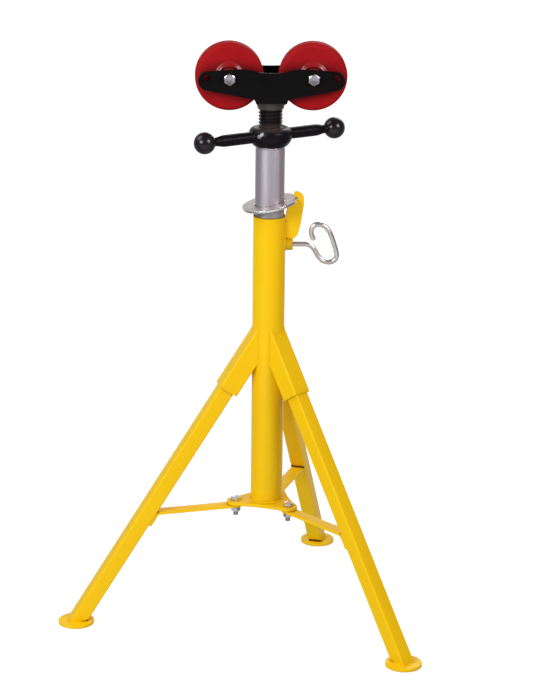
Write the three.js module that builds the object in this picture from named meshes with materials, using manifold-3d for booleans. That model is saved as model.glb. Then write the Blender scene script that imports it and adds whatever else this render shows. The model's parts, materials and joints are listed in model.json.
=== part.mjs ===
// Pipe jack stand: a three-legged stand with a telescoping post, a grip ring and
// locking pin, a screw jack turned by a ball-ended handle nut, and a roller head.
// Millimetres, +Z up. The model is laid out with the post's axis on x = y = 0 and the
// floor at z = 0, then moved so that the origin is at the bottom centre of its box.
import * as THREE from 'three';
import { mergeVertices } from 'three/addons/utils/BufferGeometryUtils.js';
import Module from 'manifold-3d';

// ---------------------------------------------------------------- driving dimensions
const GAP = 0.3;                    // clearance between touching pieces

// post
const POST_OD = 60.3, POST_ID = 57.0;
const POST_BOTTOM = 225.6, POST_TOP = 782.6;
const TUBE_OD = 54.4, TUBE_ID = 47.2;
const TUBE_BOTTOM = 280.0, TUBE_TOP = 911.0;
const PIN_Z = 728.2, PIN_PITCH = 50.8, PIN_HOLES_BELOW = 7, PIN_HOLES_ABOVE = 1;
const PIN_D = 9.5, PIN_HOLE_D = 11.0;

// legs, given in the vertical plane of each leg
const LEG_AZIMUTHS = { right: 313.6, back: 73.2, left: 193.6 };
const LEG_APEX_Z = 575.0;           // where the leg's centre line meets the post's axis
const LEG_FOOT_R = 372.3;           // where it meets the floor
const LEG_W = 29.4, LEG_WALL = 2.6, LEG_START = 84.0;
const SOCKET_W = 38.6, SOCKET_WALL = 2.6, SOCKET_IN = 1.6, SOCKET_END = 149.0;
const FOOT_D = 68.2, FOOT_T = 6.2, FOOT_R = 371.0;

// base plate, struts and their bolts
const PLATE_T = 6.0, PLATE_Z = 219.3, BOLT_R = 60.0, EAR_R = 17.5, WAIST_R = 42.5;
const STRUT_W = 25.4, STRUT_T = 5.0, STRUT_TILT = 1.2, TAB_LENGTH = 30.0;
const BOLT_D = 10.0, BOLT_AF = 17.0, BOLT_HEAD = 6.6, NUT_H = 8.6, BOLT_END = 9.0;

// grip ring and its bracket
const RING_OD = 105.0, RING_ID = 59.2, RING_T = 4.8, RING_X = 0.8, RING_Z = 805.2, RING_TILT = 10.9, RING_NOD = 3.0;
const BRACKET_T = 8.0;
const BOSS_OD = 23.0, BOSS_END = 44.0;

// handle nut
const HANDLE_AZIMUTH = 31.0, HANDLE_Z = 933.2, BALL_R = 20.2, BALL_AT = 138.5, ARM_SLOPE = 0.4;
const NUT_BOTTOM = 914.3, NUT_TOP = 949.0, NUT_R = 40.0;
// screw
const SCREW_D = 44.45, SCREW_PITCH = 6.35, SCREW_DEPTH = 2.6;
const SCREW_BOTTOM = 815.0, THREAD_BOTTOM = 826.0, THREAD_TOP = 986.0, SCREW_TOP = 1004.2;
// roller head: side plates at +-HEAD_OUT, axles at +-AXLE_X
const HEAD_AZIMUTH = 2.2, HEAD_OUT = 38.0, SIDE_T = 6.0;
const HEAD_BASE_Z = 998.5, HEAD_BASE_T = 6.0, WEB_T = 13.0, WEB_TOP = 1036.0;
const END_X = 116.0, END_Z = 1040.5, END_R = 17.5;
const END_HOLE = 12.5, END_HOLE_X = 117.0, END_HOLE_Z = 1045.5;
const AXLE_X = 76.5, AXLE_Z = 1044.5, AXLE_D = 12.7, AXLE_AF = 19.05, AXLE_HEAD = 8.0;
const WHEEL_D = 125.0, WHEEL_W = 38.0, WHEEL_EDGE = 9.0, HUB_H = 24.0, BUSH_R = 9.5;

// ---------------------------------------------------------------- solids
const wasm = await Module();
wasm.setup();
const { Manifold, Mesh } = wasm;

function solid(geometry) {
  const g = geometry.clone();
  for (const name of Object.keys(g.attributes)) if (name !== 'position') g.deleteAttribute(name);
  const m = mergeVertices(g, 1e-4);
  return new Manifold(new Mesh({
    numProp: 3,
    vertProperties: new Float32Array(m.attributes.position.array),
    triVerts: new Uint32Array(m.index.array),
  }));
}
function geometryOf(s) {
  const mesh = s.getMesh();
  const g = new THREE.BufferGeometry();
  const n = mesh.numProp, count = mesh.vertProperties.length / n;
  const pos = new Float32Array(count * 3);
  for (let i = 0; i < count; i++) for (let k = 0; k < 3; k++) pos[3 * i + k] = mesh.vertProperties[n * i + k];
  g.setAttribute('position', new THREE.BufferAttribute(pos, 3));
  g.setIndex(Array.from(mesh.triVerts));
  return g;
}
const cut = (a, ...rest) => geometryOf(rest.reduce((s, b) => s.subtract(solid(b)), solid(a)));
const join = (a, ...rest) => geometryOf(rest.reduce((s, b) => s.add(solid(b)), solid(a)));
const keep = (a, b) => geometryOf(solid(a).intersect(solid(b)));

// round bar or disc along Z
function rod(d, z0, z1, n = 32, x = 0, y = 0) {
  const g = new THREE.CylinderGeometry(d / 2, d / 2, z1 - z0, n);
  g.rotateX(Math.PI / 2);
  g.translate(x, y, (z0 + z1) / 2);
  return g;
}
// the same along X
function rodX(d, x0, x1, n, y, z) {
  const g = new THREE.CylinderGeometry(d / 2, d / 2, x1 - x0, n);
  g.rotateZ(-Math.PI / 2);
  g.translate((x0 + x1) / 2, y, z);
  return g;
}
// the same along Y
function rodY(d, y0, y1, n, x, z) {
  const g = new THREE.CylinderGeometry(d / 2, d / 2, y1 - y0, n);
  g.translate(x, (y0 + y1) / 2, z);
  return g;
}
function block(x0, x1, y0, y1, z0, z1) {
  const g = new THREE.BoxGeometry(x1 - x0, y1 - y0, z1 - z0);
  g.translate((x0 + x1) / 2, (y0 + y1) / 2, (z0 + z1) / 2);
  return g;
}
// solid of revolution about Z from [radius, height] points of a closed section
function turned(points, n = 40) {
  const g = new THREE.LatheGeometry(points.map(([r, z]) => new THREE.Vector2(r, z)), n);
  g.rotateX(Math.PI / 2);
  return g;
}
function outline(points) {
  const s = new THREE.Shape();
  points.forEach(([x, y], i) => (i ? s.lineTo(x, y) : s.moveTo(x, y)));
  s.closePath();
  return s;
}
const flat = (points, t) => new THREE.ExtrudeGeometry(outline(points), { depth: t, bevelEnabled: false, curveSegments: 8 });
// square outline with rounded corners
function square(w, r, k = 3) {
  const pts = [], h = w / 2 - r;
  [[1, 1, 0], [-1, 1, 90], [-1, -1, 180], [1, -1, 270]].forEach(([sx, sy, a0]) => {
    for (let i = 0; i <= k; i++) {
      const a = ((a0 + (90 * i) / k) * Math.PI) / 180;
      pts.push([sx * h + r * Math.cos(a), sy * h + r * Math.sin(a)]);
    }
  });
  return pts;
}
// regular hexagon across flats af, corners on +-Y of its own plane
function hexagon(af) {
  const R = af / Math.sqrt(3);
  return [...Array(6)].map((_, i) => [R * Math.cos(Math.PI / 2 + (i * Math.PI) / 3), R * Math.sin(Math.PI / 2 + (i * Math.PI) / 3)]);
}

const model = new THREE.Group();
const colours = {
  yellow: [0xf2c315, 0.45, 0.1],
  zinc: [0xa9a6ab, 0.4, 0.85],
  black: [0x161517, 0.42, 0.3],
  plated: [0xb4b2b0, 0.35, 0.9],
  red: [0xaa2124, 0.4, 0.0],
  bronze: [0x8c6a3a, 0.45, 0.8],
};
function piece(parent, name, geometry, look) {
  const [color, roughness, metalness] = colours[look];
  const mesh = new THREE.Mesh(geometry, new THREE.MeshStandardMaterial({ color, roughness, metalness }));
  mesh.name = name;
  parent.add(mesh);
  return mesh;
}
const rad = THREE.MathUtils.degToRad;

// ---------------------------------------------------------------- post
{
  let g = cut(rod(POST_OD, POST_BOTTOM, POST_TOP, 40), rod(POST_ID, POST_BOTTOM - 5, POST_TOP + 5, 40));
  g = cut(g, rodX(PIN_HOLE_D, 20, 40, 12, 0, PIN_Z));
  piece(model, 'outer_tube', g, 'yellow');
}
{
  let g = cut(rod(TUBE_OD, TUBE_BOTTOM, TUBE_TOP, 36), rod(TUBE_ID, TUBE_BOTTOM - 5, TUBE_TOP + 5, 36));
  for (let k = -PIN_HOLES_BELOW; k <= PIN_HOLES_ABOVE; k++)
    g = cut(g, rodX(PIN_HOLE_D, -40, 40, 8, 0, PIN_Z + k * PIN_PITCH));
  piece(model, 'inner_tube', g, 'zinc');
}
// short bush on the post's side, coped to the post
{
  let g = rodX(BOSS_OD, 15, BOSS_END, 24, 0, PIN_Z);
  g = cut(g, rod(POST_OD + 2 * GAP, PIN_Z - 60, PIN_Z + 60, 40), rodX(PIN_D + 0.8, 10, BOSS_END + 5, 16, 0, PIN_Z));
  piece(model, 'pin_boss', g, 'yellow');
}
// plate on the post's side that the ring hooks into, drawn in the X-Z plane
{
  const edge = POST_OD / 2 + GAP;
  const a = rad(RING_TILT);
  const along = (u, v) => [RING_X + u * Math.cos(a) - v * Math.sin(a), RING_Z + u * Math.sin(a) + v * Math.cos(a)];
  const lo = -RING_T / 2 - 0.9, hi = RING_T / 2 + 1.2;
  const pts = [
    [edge, 742.4], [edge, 784.0], [31.4, 788.0], [32.8, 794.0], along(35.2, lo), along(53.3, lo), along(53.3, hi - 0.2),
    along(47.4, hi), [44.0, 822.2], [45.2, 826.8], [49.0, 829.2], [54.6, 828.0], [59.8, 824.2], [63.2, 818.4], [63.9, 809.4], [63.3, 800.5],
    [61.2, 787.7], [57.9, 765.9], [53.6, 748.4], [50.2, 742.8], [47.0, 740.2], [44.4, 740.2], [40.0, 740.2],
  ];
  // the plate stands on top of the bush
  const g = flat(pts, BRACKET_T);
  g.rotateX(Math.PI / 2);
  g.translate(0, BRACKET_T / 2, 0);
  piece(model, 'lock_bracket', g, 'yellow');
}

// ---------------------------------------------------------------- grip ring
{
  const h = RING_T / 2, ro = RING_OD / 2, ri = RING_ID / 2;
  const g = turned([[ri, -h], [ro - 0.8, -h], [ro, -h + 0.8], [ro, h - 0.8], [ro - 0.8, h], [ri, h], [ri, -h]], 40);
  const m = piece(model, 'grip_ring', g, 'plated');
  m.position.set(RING_X, 0, RING_Z);
  m.rotation.set(rad(RING_NOD), -rad(RING_TILT), 0);
}

// ---------------------------------------------------------------- locking pin
class PinPath extends THREE.Curve {
  constructor(points) { super(); this.c = new THREE.CatmullRomCurve3(points.map(([x, z]) => new THREE.Vector3(x, 0, z)), false, 'centripetal'); }
  getPoint(t, target) { return this.c.getPoint(t, target); }
}
{
  const pts = [
    [28.4, PIN_Z], [46, PIN_Z], [62, PIN_Z], [70.6, PIN_Z - 0.2], [77.2, 725.4], [82.2, 720.9], [86.3, 714.4], [90.2, 707.4], [95.4, 700.8],
    [103.4, 695.4], [113.1, 694.2], [121.4, 697.4], [125.9, 705.6], [124.8, 714.6], [120.9, 728.0], [116.4, 741.4], [110.4, 754.4],
    [102.6, 762.9], [92.5, 766.2], [84.0, 764.6], [78.6, 757.2], [78.0, 749.6], [80.2, 742.4], [83.4, 736.3],
  ];
  const shape = outline([...Array(8)].map((_, i) => [(PIN_D / 2) * Math.cos((i * Math.PI) / 4), (PIN_D / 2) * Math.sin((i * Math.PI) / 4)]));
  const g = new THREE.ExtrudeGeometry(shape, { steps: 44, bevelEnabled: false, extrudePath: new PinPath(pts) });
  piece(model, 'locking_pin', g, 'plated');
}

// ---------------------------------------------------------------- legs
const lean = Math.atan2(LEG_FOOT_R, LEG_APEX_Z);
// a tube of square section from s0 to s1 along the leg's centre line, measured down from the apex
function legTube(w, wall, corner, s0, s1, inward = 0) {
  const shape = outline(square(w, corner));
  shape.holes.push(new THREE.Path(square(w - 2 * wall, Math.max(corner - wall, 0.8), 2).map(([x, y]) => new THREE.Vector2(x, y))));
  const g = new THREE.ExtrudeGeometry(shape, { depth: s1 - s0, bevelEnabled: false, curveSegments: 4 });
  g.translate(-inward, 0, s0);
  g.rotateX(Math.PI);            // down
  g.rotateY(-lean);              // outward along +X
  g.translate(0, 0, LEG_APEX_Z);
  return g;
}
const onLeg = (s, n) => [s * Math.sin(lean) + n * Math.cos(lean), LEG_APEX_Z - s * Math.cos(lean) + n * Math.sin(lean)];

for (const [side, azimuth] of Object.entries(LEG_AZIMUTHS)) {
  const leg = new THREE.Group();
  leg.rotation.z = rad(azimuth);
  model.add(leg);

  const socket = cut(legTube(SOCKET_W, SOCKET_WALL, 3.2, 5, SOCKET_END, SOCKET_IN), rod(POST_OD + 2 * GAP, 380, 640, 40));
  // only the stretch outside the post is kept
  piece(leg, `leg_socket_${side}`, keep(socket, block(POST_OD / 4, 200, -40, 40, 380, 640)), 'yellow');

  const tube = cut(legTube(LEG_W, LEG_WALL, 3.0, LEG_START, 720), block(250, 450, -40, 40, -80, FOOT_T + GAP));
  piece(leg, `leg_tube_${side}`, tube, 'yellow');

  piece(leg, `foot_disc_${side}`, turned([[0, 0], [FOOT_D / 2 - 0.6, 0], [FOOT_D / 2, 0.6], [FOOT_D / 2, FOOT_T - 1], [FOOT_D / 2 - 1, FOOT_T], [0, FOOT_T]], 28).translate(FOOT_R, 0, 0), 'yellow');

  // strut: flat bar from under the ear to the leg, its end bent down along the leg's inner face
  const drop = Math.tan(rad(STRUT_TILT));
  const top0 = PLATE_Z - GAP;
  const faceN = -LEG_W / 2 - GAP;
  const atTop = (r) => top0 - drop * (r - 47);
  // where the bar's top line meets the leg's inner face line
  let s = 400; for (let i = 0; i < 40; i++) { const [r, z] = onLeg(s, faceN); s += (z - atTop(r)) / (Math.cos(lean) - drop * Math.sin(lean)); }
  const sTop = s;
  const nIn = faceN - STRUT_T;
  let q = 400; for (let i = 0; i < 40; i++) { const [r, z] = onLeg(q, nIn); q += (z - (atTop(r) - STRUT_T)) / (Math.cos(lean) - drop * Math.sin(lean)); }
  const bend = 7;
  const profile = [
    [47 - 2, atTop(45)], [onLeg(sTop, faceN)[0] - bend, atTop(onLeg(sTop, faceN)[0] - bend)],
    [onLeg(sTop + bend * 0.35, faceN - bend * 0.30)[0], onLeg(sTop + bend * 0.35, faceN - bend * 0.30)[1]],
    onLeg(sTop + bend, faceN), onLeg(sTop + TAB_LENGTH, faceN), onLeg(sTop + TAB_LENGTH, nIn),
    onLeg(q + 2, nIn), [onLeg(q, nIn)[0] - 2, atTop(onLeg(q, nIn)[0] - 2) - STRUT_T], [45, atTop(45) - STRUT_T],
  ];
  let bar = flat(profile, STRUT_W);
  bar.rotateX(Math.PI / 2);
  bar.translate(0, STRUT_W / 2, 0);
  // round inner end, then the bolt hole
  bar = keep(bar, join(rod(STRUT_W, 150, 260, 24, BOLT_R, 0), block(BOLT_R, 300, -STRUT_W / 2, STRUT_W / 2, 150, 260)));
  bar = cut(bar, rod(BOLT_D + 0.8, 150, 260, 16, BOLT_R, 0));
  piece(leg, `strut_${side}`, bar, 'yellow');

  // bolt from above, washer and nut below
  const headZ = PLATE_Z + PLATE_T + GAP;
  const head = flat(hexagon(BOLT_AF), BOLT_HEAD).translate(BOLT_R, 0, headZ);
  const under = PLATE_Z - GAP - STRUT_T - 0.9 - GAP;
  piece(leg, `strut_bolt_${side}`, join(head, rod(BOLT_D, under - NUT_H - BOLT_END, headZ + 1, 16, BOLT_R, 0)), 'plated');
  const washer = turned([[5.3, -1.6], [9.5, -1.6], [9.5, 0], [5.3, 0], [5.3, -1.6]], 20).translate(BOLT_R, 0, under);
  piece(leg, `strut_washer_${side}`, washer, 'plated');
  const nut = cut(flat(hexagon(16.0), NUT_H - 2).translate(BOLT_R, 0, under - 1.6 - GAP - NUT_H + 2), rod(BOLT_D + 0.5, under - 30, under + 5, 16, BOLT_R, 0));
  piece(leg, `strut_nut_${side}`, nut, 'plated');
}

// ---------------------------------------------------------------- base plate
{
  const pts = [];
  // each side is a shallow arc that is tangent to the two ears beside it
  const c = Math.cos(rad(60)) * BOLT_R, h = Math.sin(rad(60)) * BOLT_R;
  const k1 = WAIST_R - c;
  const R = (EAR_R * EAR_R - k1 * k1 - h * h) / (2 * (k1 - EAR_R));
  const D = R + WAIST_R;
  const touch = Math.atan2(h, D - c);
  for (const az of [LEG_AZIMUTHS.back, LEG_AZIMUTHS.left, LEG_AZIMUTHS.right]) {
    // ear arc
    const ex = BOLT_R * Math.cos(rad(az)), ey = BOLT_R * Math.sin(rad(az));
    for (let i = -4; i <= 4; i++) {
      const a = rad(az) + (i / 4) * (Math.PI / 3 + touch);
      pts.push([ex + EAR_R * Math.cos(a), ey + EAR_R * Math.sin(a)]);
    }
    // side arc to the next ear
    const mid = rad(az + 60), mx = D * Math.cos(mid), my = D * Math.sin(mid);
    for (let i = 1; i < 5; i++) {
      const b = mid + Math.PI + touch - (2 * touch * i) / 5;
      pts.push([mx + R * Math.cos(b), my + R * Math.sin(b)]);
    }
  }
  let g = flat(pts, PLATE_T).translate(0, 0, PLATE_Z);
  g = cut(g, rod(38, PLATE_Z - 5, PLATE_Z + PLATE_T + 5, 24));
  for (const az of Object.values(LEG_AZIMUTHS))
    g = cut(g, rod(BOLT_D + 0.8, PLATE_Z - 5, PLATE_Z + PLATE_T + 5, 12, BOLT_R * Math.cos(rad(az)), BOLT_R * Math.sin(rad(az))));
  piece(model, 'base_plate', g, 'yellow');
}

// ---------------------------------------------------------------- thrust washer and handle nut
piece(model, 'thrust_washer', turned([[23.6, TUBE_TOP + GAP], [27.6, TUBE_TOP + GAP], [27.6, NUT_BOTTOM - GAP], [23.6, NUT_BOTTOM - GAP], [23.6, TUBE_TOP + GAP]], 28), 'plated');
{
  const bore = SCREW_D / 2 + 0.35;
  // collar with rounded rims and a spigot that goes down into the inner tube
  const collar = turned([
    [bore, NUT_BOTTOM - 14], [23.2, NUT_BOTTOM - 14], [23.2, NUT_BOTTOM], [30, NUT_BOTTOM], [34.5, 918.5], [38.6, 925], [NUT_R, 930.5], [NUT_R, 937], [39, 942],
    [36.8, 946], [34, 948.2], [31, NUT_TOP], [bore + 2, NUT_TOP - 1.2], [bore, NUT_TOP - 2.4], [bore, NUT_BOTTOM - 14],
  ], 32);
  // one arm: a round bar that swells, necks in and carries the ball
  const arm = turned([
    [0, 24.5], [10.7, 24.5], [10.8, 50], [10.9, 84], [10.7, 99], [9.7, 106], [8.4, 112], [8.1, 116.5],
    ...[...Array(8)].map((_, i) => { const a = rad(-65 + (155 * i) / 8); return [BALL_R * Math.cos(a), BALL_AT + BALL_R * Math.sin(a)]; }), [0, BALL_AT + BALL_R],
  ], 16);
  // the bar slopes a little, right end up
  const right = arm.clone().rotateY(Math.PI / 2 - rad(ARM_SLOPE));
  const left = arm.clone().rotateY(-Math.PI / 2 - rad(ARM_SLOPE));
  for (const g of [right, left]) g.translate(0, 0, HANDLE_Z);
  const m = piece(model, 'handle_nut', cut(join(collar, right, left), rod(2 * bore, 890, 960, 32)), 'black');
  m.rotation.z = rad(HANDLE_AZIMUTH);
}

// ---------------------------------------------------------------- screw
{
  // helical groove: columns of points round the screw, each shifted up by its share of
  // the pitch, so that the last column meets the first one a whole turn higher
  const n = 12, rMax = SCREW_D / 2, rMin = rMax - SCREW_DEPTH;
  const bands = [[0.0, rMax], [0.36, rMax], [0.68, rMin]], B = bands.length;
  const z0 = THREAD_BOTTOM - SCREW_PITCH, rows = (Math.ceil((THREAD_TOP - THREAD_BOTTOM) / SCREW_PITCH) + 2) * B;
  const pos = [], idx = [];
  for (let i = 0; i < n; i++)
    for (let j = 0; j <= rows; j++) {
      const a = (2 * Math.PI * i) / n, [f, r] = bands[j % B];
      pos.push(r * Math.cos(a), r * Math.sin(a), z0 + SCREW_PITCH * (Math.floor(j / B) + f + i / n));
    }
  const at = (i, j) => (i < n ? i * (rows + 1) + j : j + B);
  for (let i = 0; i < n; i++)
    for (let j = 0; j < (i < n - 1 ? rows : rows - B); j++) {
      const a = at(i, j), b = at(i + 1, j), c = at(i + 1, j + 1), d = at(i, j + 1);
      idx.push(a, b, c, a, c, d);
    }
  const low = pos.length / 3, high = low + 1;
  pos.push(0, 0, z0 - 6, 0, 0, z0 + SCREW_PITCH * (rows / B + 1) + 6);
  for (let i = 0; i < n; i++) idx.push(at(i + 1, 0), at(i, 0), low);
  for (let j = 0; j < B; j++) idx.push(at(0, j), at(0, j + 1), low);
  for (let i = 0; i < n - 1; i++) idx.push(at(i, rows), at(i + 1, rows), high);
  for (let j = rows - B; j < rows; j++) idx.push(at(n - 1, j + 1), at(n - 1, j), high);
  idx.push(at(n - 1, rows - B), at(0, rows), high);
  const threaded = new THREE.BufferGeometry();
  threaded.setAttribute('position', new THREE.Float32BufferAttribute(pos, 3));
  threaded.setIndex(idx);
  const stretch = keep(threaded, rod(SCREW_D + 4, THREAD_BOTTOM, THREAD_TOP, 24));
  const g = join(stretch, rod(2 * rMin - 0.6, SCREW_BOTTOM, THREAD_BOTTOM + 8, 20), rod(SCREW_D - 0.8, THREAD_TOP - 3, SCREW_TOP, 24));
  piece(model, 'jack_screw', g, 'black');
  const r = rMin - 0.3 + GAP;
  piece(model, 'screw_stop', turned([[r, SCREW_BOTTOM], [22.9, SCREW_BOTTOM], [22.9, SCREW_BOTTOM + 8], [r, SCREW_BOTTOM + 8], [r, SCREW_BOTTOM]], 24), 'plated');
}

// ---------------------------------------------------------------- roller head
const head = new THREE.Group();
head.rotation.z = rad(HEAD_AZIMUTH);
model.add(head);
{
  piece(head, 'head_socket', turned([[SCREW_D / 2 + GAP, 984], [23.8, 984], [28.2, HEAD_BASE_Z - GAP], [SCREW_D / 2 + GAP, HEAD_BASE_Z - GAP], [SCREW_D / 2 + GAP, 984]], 32), 'black');

  const inner = HEAD_OUT - SIDE_T - GAP;
  let base = block(-28.4, 28.4, -inner, inner, HEAD_BASE_Z, HEAD_BASE_Z + HEAD_BASE_T);
  base = cut(base, rod(SCREW_D + 2 * GAP, HEAD_BASE_Z - 5, HEAD_BASE_Z + HEAD_BASE_T + 5, 36));
  piece(head, 'head_base', base, 'black');
  piece(head, 'head_web', block(-WEB_T / 2, WEB_T / 2, -inner, inner, HEAD_BASE_Z + HEAD_BASE_T + GAP, WEB_TOP), 'black');

  // side plate outline, right half from the dip at the middle round to the tab under it
  const half = [[0, 1055], [13, 1055], [22, 1056.2], [31, 1058.7], [40, 1060.6], [51, 1061.5], [66, 1061.3], [84, 1060.3], [100, 1058.9]];
  for (let i = 0; i <= 7; i++) {
    const a = rad(88 - 24 * i);
    half.push([END_X + END_R * Math.cos(a), END_Z + END_R * Math.sin(a)]);
  }
  half.push([72, 1014.4], [36, 1007.6], [31.2, 1005.6], [29.0, 1002.6], [28.4, 998.8]);
  const all = [...half, ...half.slice(1).reverse().map(([x, z]) => [-x, z])];
  for (const [name, y] of [['front', -HEAD_OUT], ['rear', HEAD_OUT - SIDE_T]]) {
    let g = flat(all, SIDE_T);
    g.rotateX(Math.PI / 2);
    g.translate(0, y + SIDE_T, 0);
    for (const sx of [-1, 1])
      g = cut(g, rodY(AXLE_D + 0.6, y - 5, y + SIDE_T + 5, 16, sx * AXLE_X, AXLE_Z), rodY(END_HOLE, y - 5, y + SIDE_T + 5, 16, sx * END_HOLE_X, END_HOLE_Z));
    piece(head, `side_plate_${name}`, g, 'black');
  }

  for (const [side, sx] of [['left', -1], ['right', 1]]) {
    const x = sx * AXLE_X, z = AXLE_Z;
    // bolt head in front, corners up
    const hex = flat(hexagon(AXLE_AF), AXLE_HEAD).rotateX(Math.PI / 2).translate(x, -HEAD_OUT - GAP, z);
    piece(head, `axle_bolt_${side}`, join(hex, rodY(AXLE_D, -HEAD_OUT - 1, HEAD_OUT + 15, 20, x, z)), 'plated');
    const nut = cut(flat(hexagon(AXLE_AF), 11).rotateX(Math.PI / 2).translate(x, HEAD_OUT + GAP + 11, z), rodY(AXLE_D + 0.6, HEAD_OUT - 5, HEAD_OUT + 20, 20, x, z));
    piece(head, `axle_nut_${side}`, nut, 'plated');

    // roller: rounded tread, raised ring and hub on both faces
    const h = WHEEL_W / 2, R = WHEEL_D / 2, e = WHEEL_EDGE;
    const rim = [0, 1, 2].map((i) => rad(i * 45)).map((a) => [R - e + e * Math.sin(a), h - e + e * Math.cos(a)]);
    const upper = [[BUSH_R + GAP, HUB_H], [16.5, HUB_H], [17.5, 22.5], [25.6, 22.5], [27.2, h], ...rim];
    const lower = upper.map(([r, y]) => [r, -y]);
    const wheel = turned([...lower, ...upper.slice().reverse(), lower[0]], 32);
    wheel.rotateX(Math.PI / 2);
    piece(head, `roller_${side}`, wheel, 'red').position.set(x, 0, z);

    const ring = (r0, r1, y0, y1, n) => turned([[r0, y0], [r1, y0], [r1, y1], [r0, y1], [r0, y0]], n).rotateX(Math.PI / 2);
    const ri = AXLE_D / 2 + 0.2;
    piece(head, `roller_bush_${side}`, ring(ri, BUSH_R, -HUB_H, HUB_H, 20), 'bronze').position.set(x, 0, z);
    for (const [end, s] of [['front', -1], ['rear', 1]]) {
      const a = s * (HUB_H + GAP), b = s * inner;
      piece(head, `spacer_${side}_${end}`, ring(ri + 0.2, 12, Math.min(a, b), Math.max(a, b), 20), 'plated').position.set(x, 0, z);
    }
  }
}

// ---------------------------------------------------------------- origin
// bottom centre of the whole model's box
model.updateMatrixWorld(true);
const box = new THREE.Box3();
const v = new THREE.Vector3();
model.traverse((m) => {
  if (!m.isMesh) return;
  const p = m.geometry.attributes.position;
  for (let i = 0; i < p.count; i++) box.expandByPoint(v.fromBufferAttribute(p, i).applyMatrix4(m.matrixWorld));
});
model.position.set(-(box.min.x + box.max.x) / 2, -(box.min.y + box.max.y) / 2, -box.min.z);
model.updateMatrixWorld(true);

export default model;
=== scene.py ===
# Pipe jack stand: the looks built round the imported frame. Lengths below are in
# millimetres with the post's axis at x = y = 0, and are turned into metres in the
# frame's own place when a mesh is made.
import json
import math
import random

import bmesh
import bpy
import numpy as np
from mathutils import Matrix, Vector
from mathutils.geometry import tessellate_polygon

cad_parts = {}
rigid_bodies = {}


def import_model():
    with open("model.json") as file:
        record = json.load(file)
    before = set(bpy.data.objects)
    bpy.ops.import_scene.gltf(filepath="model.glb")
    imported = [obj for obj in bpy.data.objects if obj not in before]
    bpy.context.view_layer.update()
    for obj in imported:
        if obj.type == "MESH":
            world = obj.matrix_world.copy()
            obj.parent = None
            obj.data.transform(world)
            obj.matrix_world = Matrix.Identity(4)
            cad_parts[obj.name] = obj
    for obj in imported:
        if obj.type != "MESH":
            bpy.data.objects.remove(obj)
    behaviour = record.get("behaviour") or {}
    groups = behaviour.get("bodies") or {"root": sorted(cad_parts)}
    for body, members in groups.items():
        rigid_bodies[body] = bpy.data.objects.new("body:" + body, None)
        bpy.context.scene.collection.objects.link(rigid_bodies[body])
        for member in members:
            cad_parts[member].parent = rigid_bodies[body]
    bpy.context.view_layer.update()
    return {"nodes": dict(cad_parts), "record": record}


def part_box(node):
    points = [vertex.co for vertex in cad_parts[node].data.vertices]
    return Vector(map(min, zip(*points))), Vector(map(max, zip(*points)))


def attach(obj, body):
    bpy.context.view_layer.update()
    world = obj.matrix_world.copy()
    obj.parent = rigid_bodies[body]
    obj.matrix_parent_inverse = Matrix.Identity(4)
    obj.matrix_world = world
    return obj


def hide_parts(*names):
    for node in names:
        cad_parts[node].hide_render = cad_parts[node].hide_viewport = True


for o in list(bpy.data.objects):
    bpy.data.objects.remove(o, do_unlink=True)

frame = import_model()

lo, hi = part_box("outer_tube")
OX, OY = (lo.x + hi.x) / 2, (lo.y + hi.y) / 2      # the post's axis in the frame

# ------------------------------------------------------------------ dimensions
GAP = 0.3
POST_R, POST_RI, POST_BOTTOM, POST_TOP = 30.15, 28.5, 225.6, 782.6
TUBE_R, TUBE_RI, TUBE_BOTTOM, TUBE_TOP = 27.2, 23.6, 280.0, 911.0
PIN_Z, PIN_PITCH, PIN_R, PIN_HOLE_R = 728.2, 50.8, 4.75, 5.5
AZIMUTHS = {"right": 313.6, "back": 73.2, "left": 193.6}
APEX_Z, FOOT_LINE_R = 575.0, 372.3
LEG_W, LEG_WALL, LEG_START = 29.4, 2.6, 84.0
SOCKET_W, SOCKET_WALL, SOCKET_IN, SOCKET_END = 38.6, 2.6, 1.6, 149.0
FOOT_D, FOOT_T, FOOT_R = 68.2, 6.2, 371.0
PLATE_T, PLATE_Z, BOLT_R, EAR_R, WAIST_R = 6.0, 219.3, 60.0, 17.5, 42.5
STRUT_W, STRUT_T, STRUT_TILT, TAB_LENGTH = 25.4, 5.0, 1.2, 30.0
BOLT_D, BOLT_AF, BOLT_HEAD, NUT_H, BOLT_END = 10.0, 17.0, 6.6, 8.6, 9.0
RING_R, RING_RI, RING_T, RING_X, RING_Z, RING_TILT, RING_NOD = 52.5, 29.6, 4.8, 0.8, 805.2, 10.9, 3.0
BRACKET_T, BOSS_R, BOSS_END = 8.0, 11.5, 44.0
HANDLE_AZIMUTH, HANDLE_Z, BALL_R, BALL_AT, ARM_SLOPE = 31.0, 933.2, 20.2, 138.5, 0.4
NUT_BOTTOM, NUT_TOP, NUT_R = 914.3, 949.0, 40.0
SCREW_R, SCREW_PITCH, SCREW_DEPTH = 22.225, 6.35, 2.6
SCREW_BOTTOM, THREAD_BOTTOM, THREAD_TOP, SCREW_TOP = 815.0, 826.0, 986.0, 1004.2
HEAD_AZIMUTH, HEAD_OUT, SIDE_T = 2.2, 38.0, 6.0
HEAD_BASE_Z, HEAD_BASE_T, WEB_T, WEB_TOP = 998.5, 6.0, 13.0, 1036.0
END_X, END_Z, END_R = 116.0, 1040.5, 17.5
END_HOLE_R, END_HOLE_X, END_HOLE_Z = 6.25, 117.0, 1045.5
AXLE_X, AXLE_Z, AXLE_R, AXLE_AF, AXLE_HEAD = 76.5, 1044.5, 6.35, 19.05, 8.0
WHEEL_R, WHEEL_W, WHEEL_EDGE, HUB_H, BUSH_R = 62.5, 38.0, 9.0, 24.0, 9.5

rad = math.radians
sin, cos, pi = math.sin, math.cos, math.pi
rng = random.Random(7)


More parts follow.
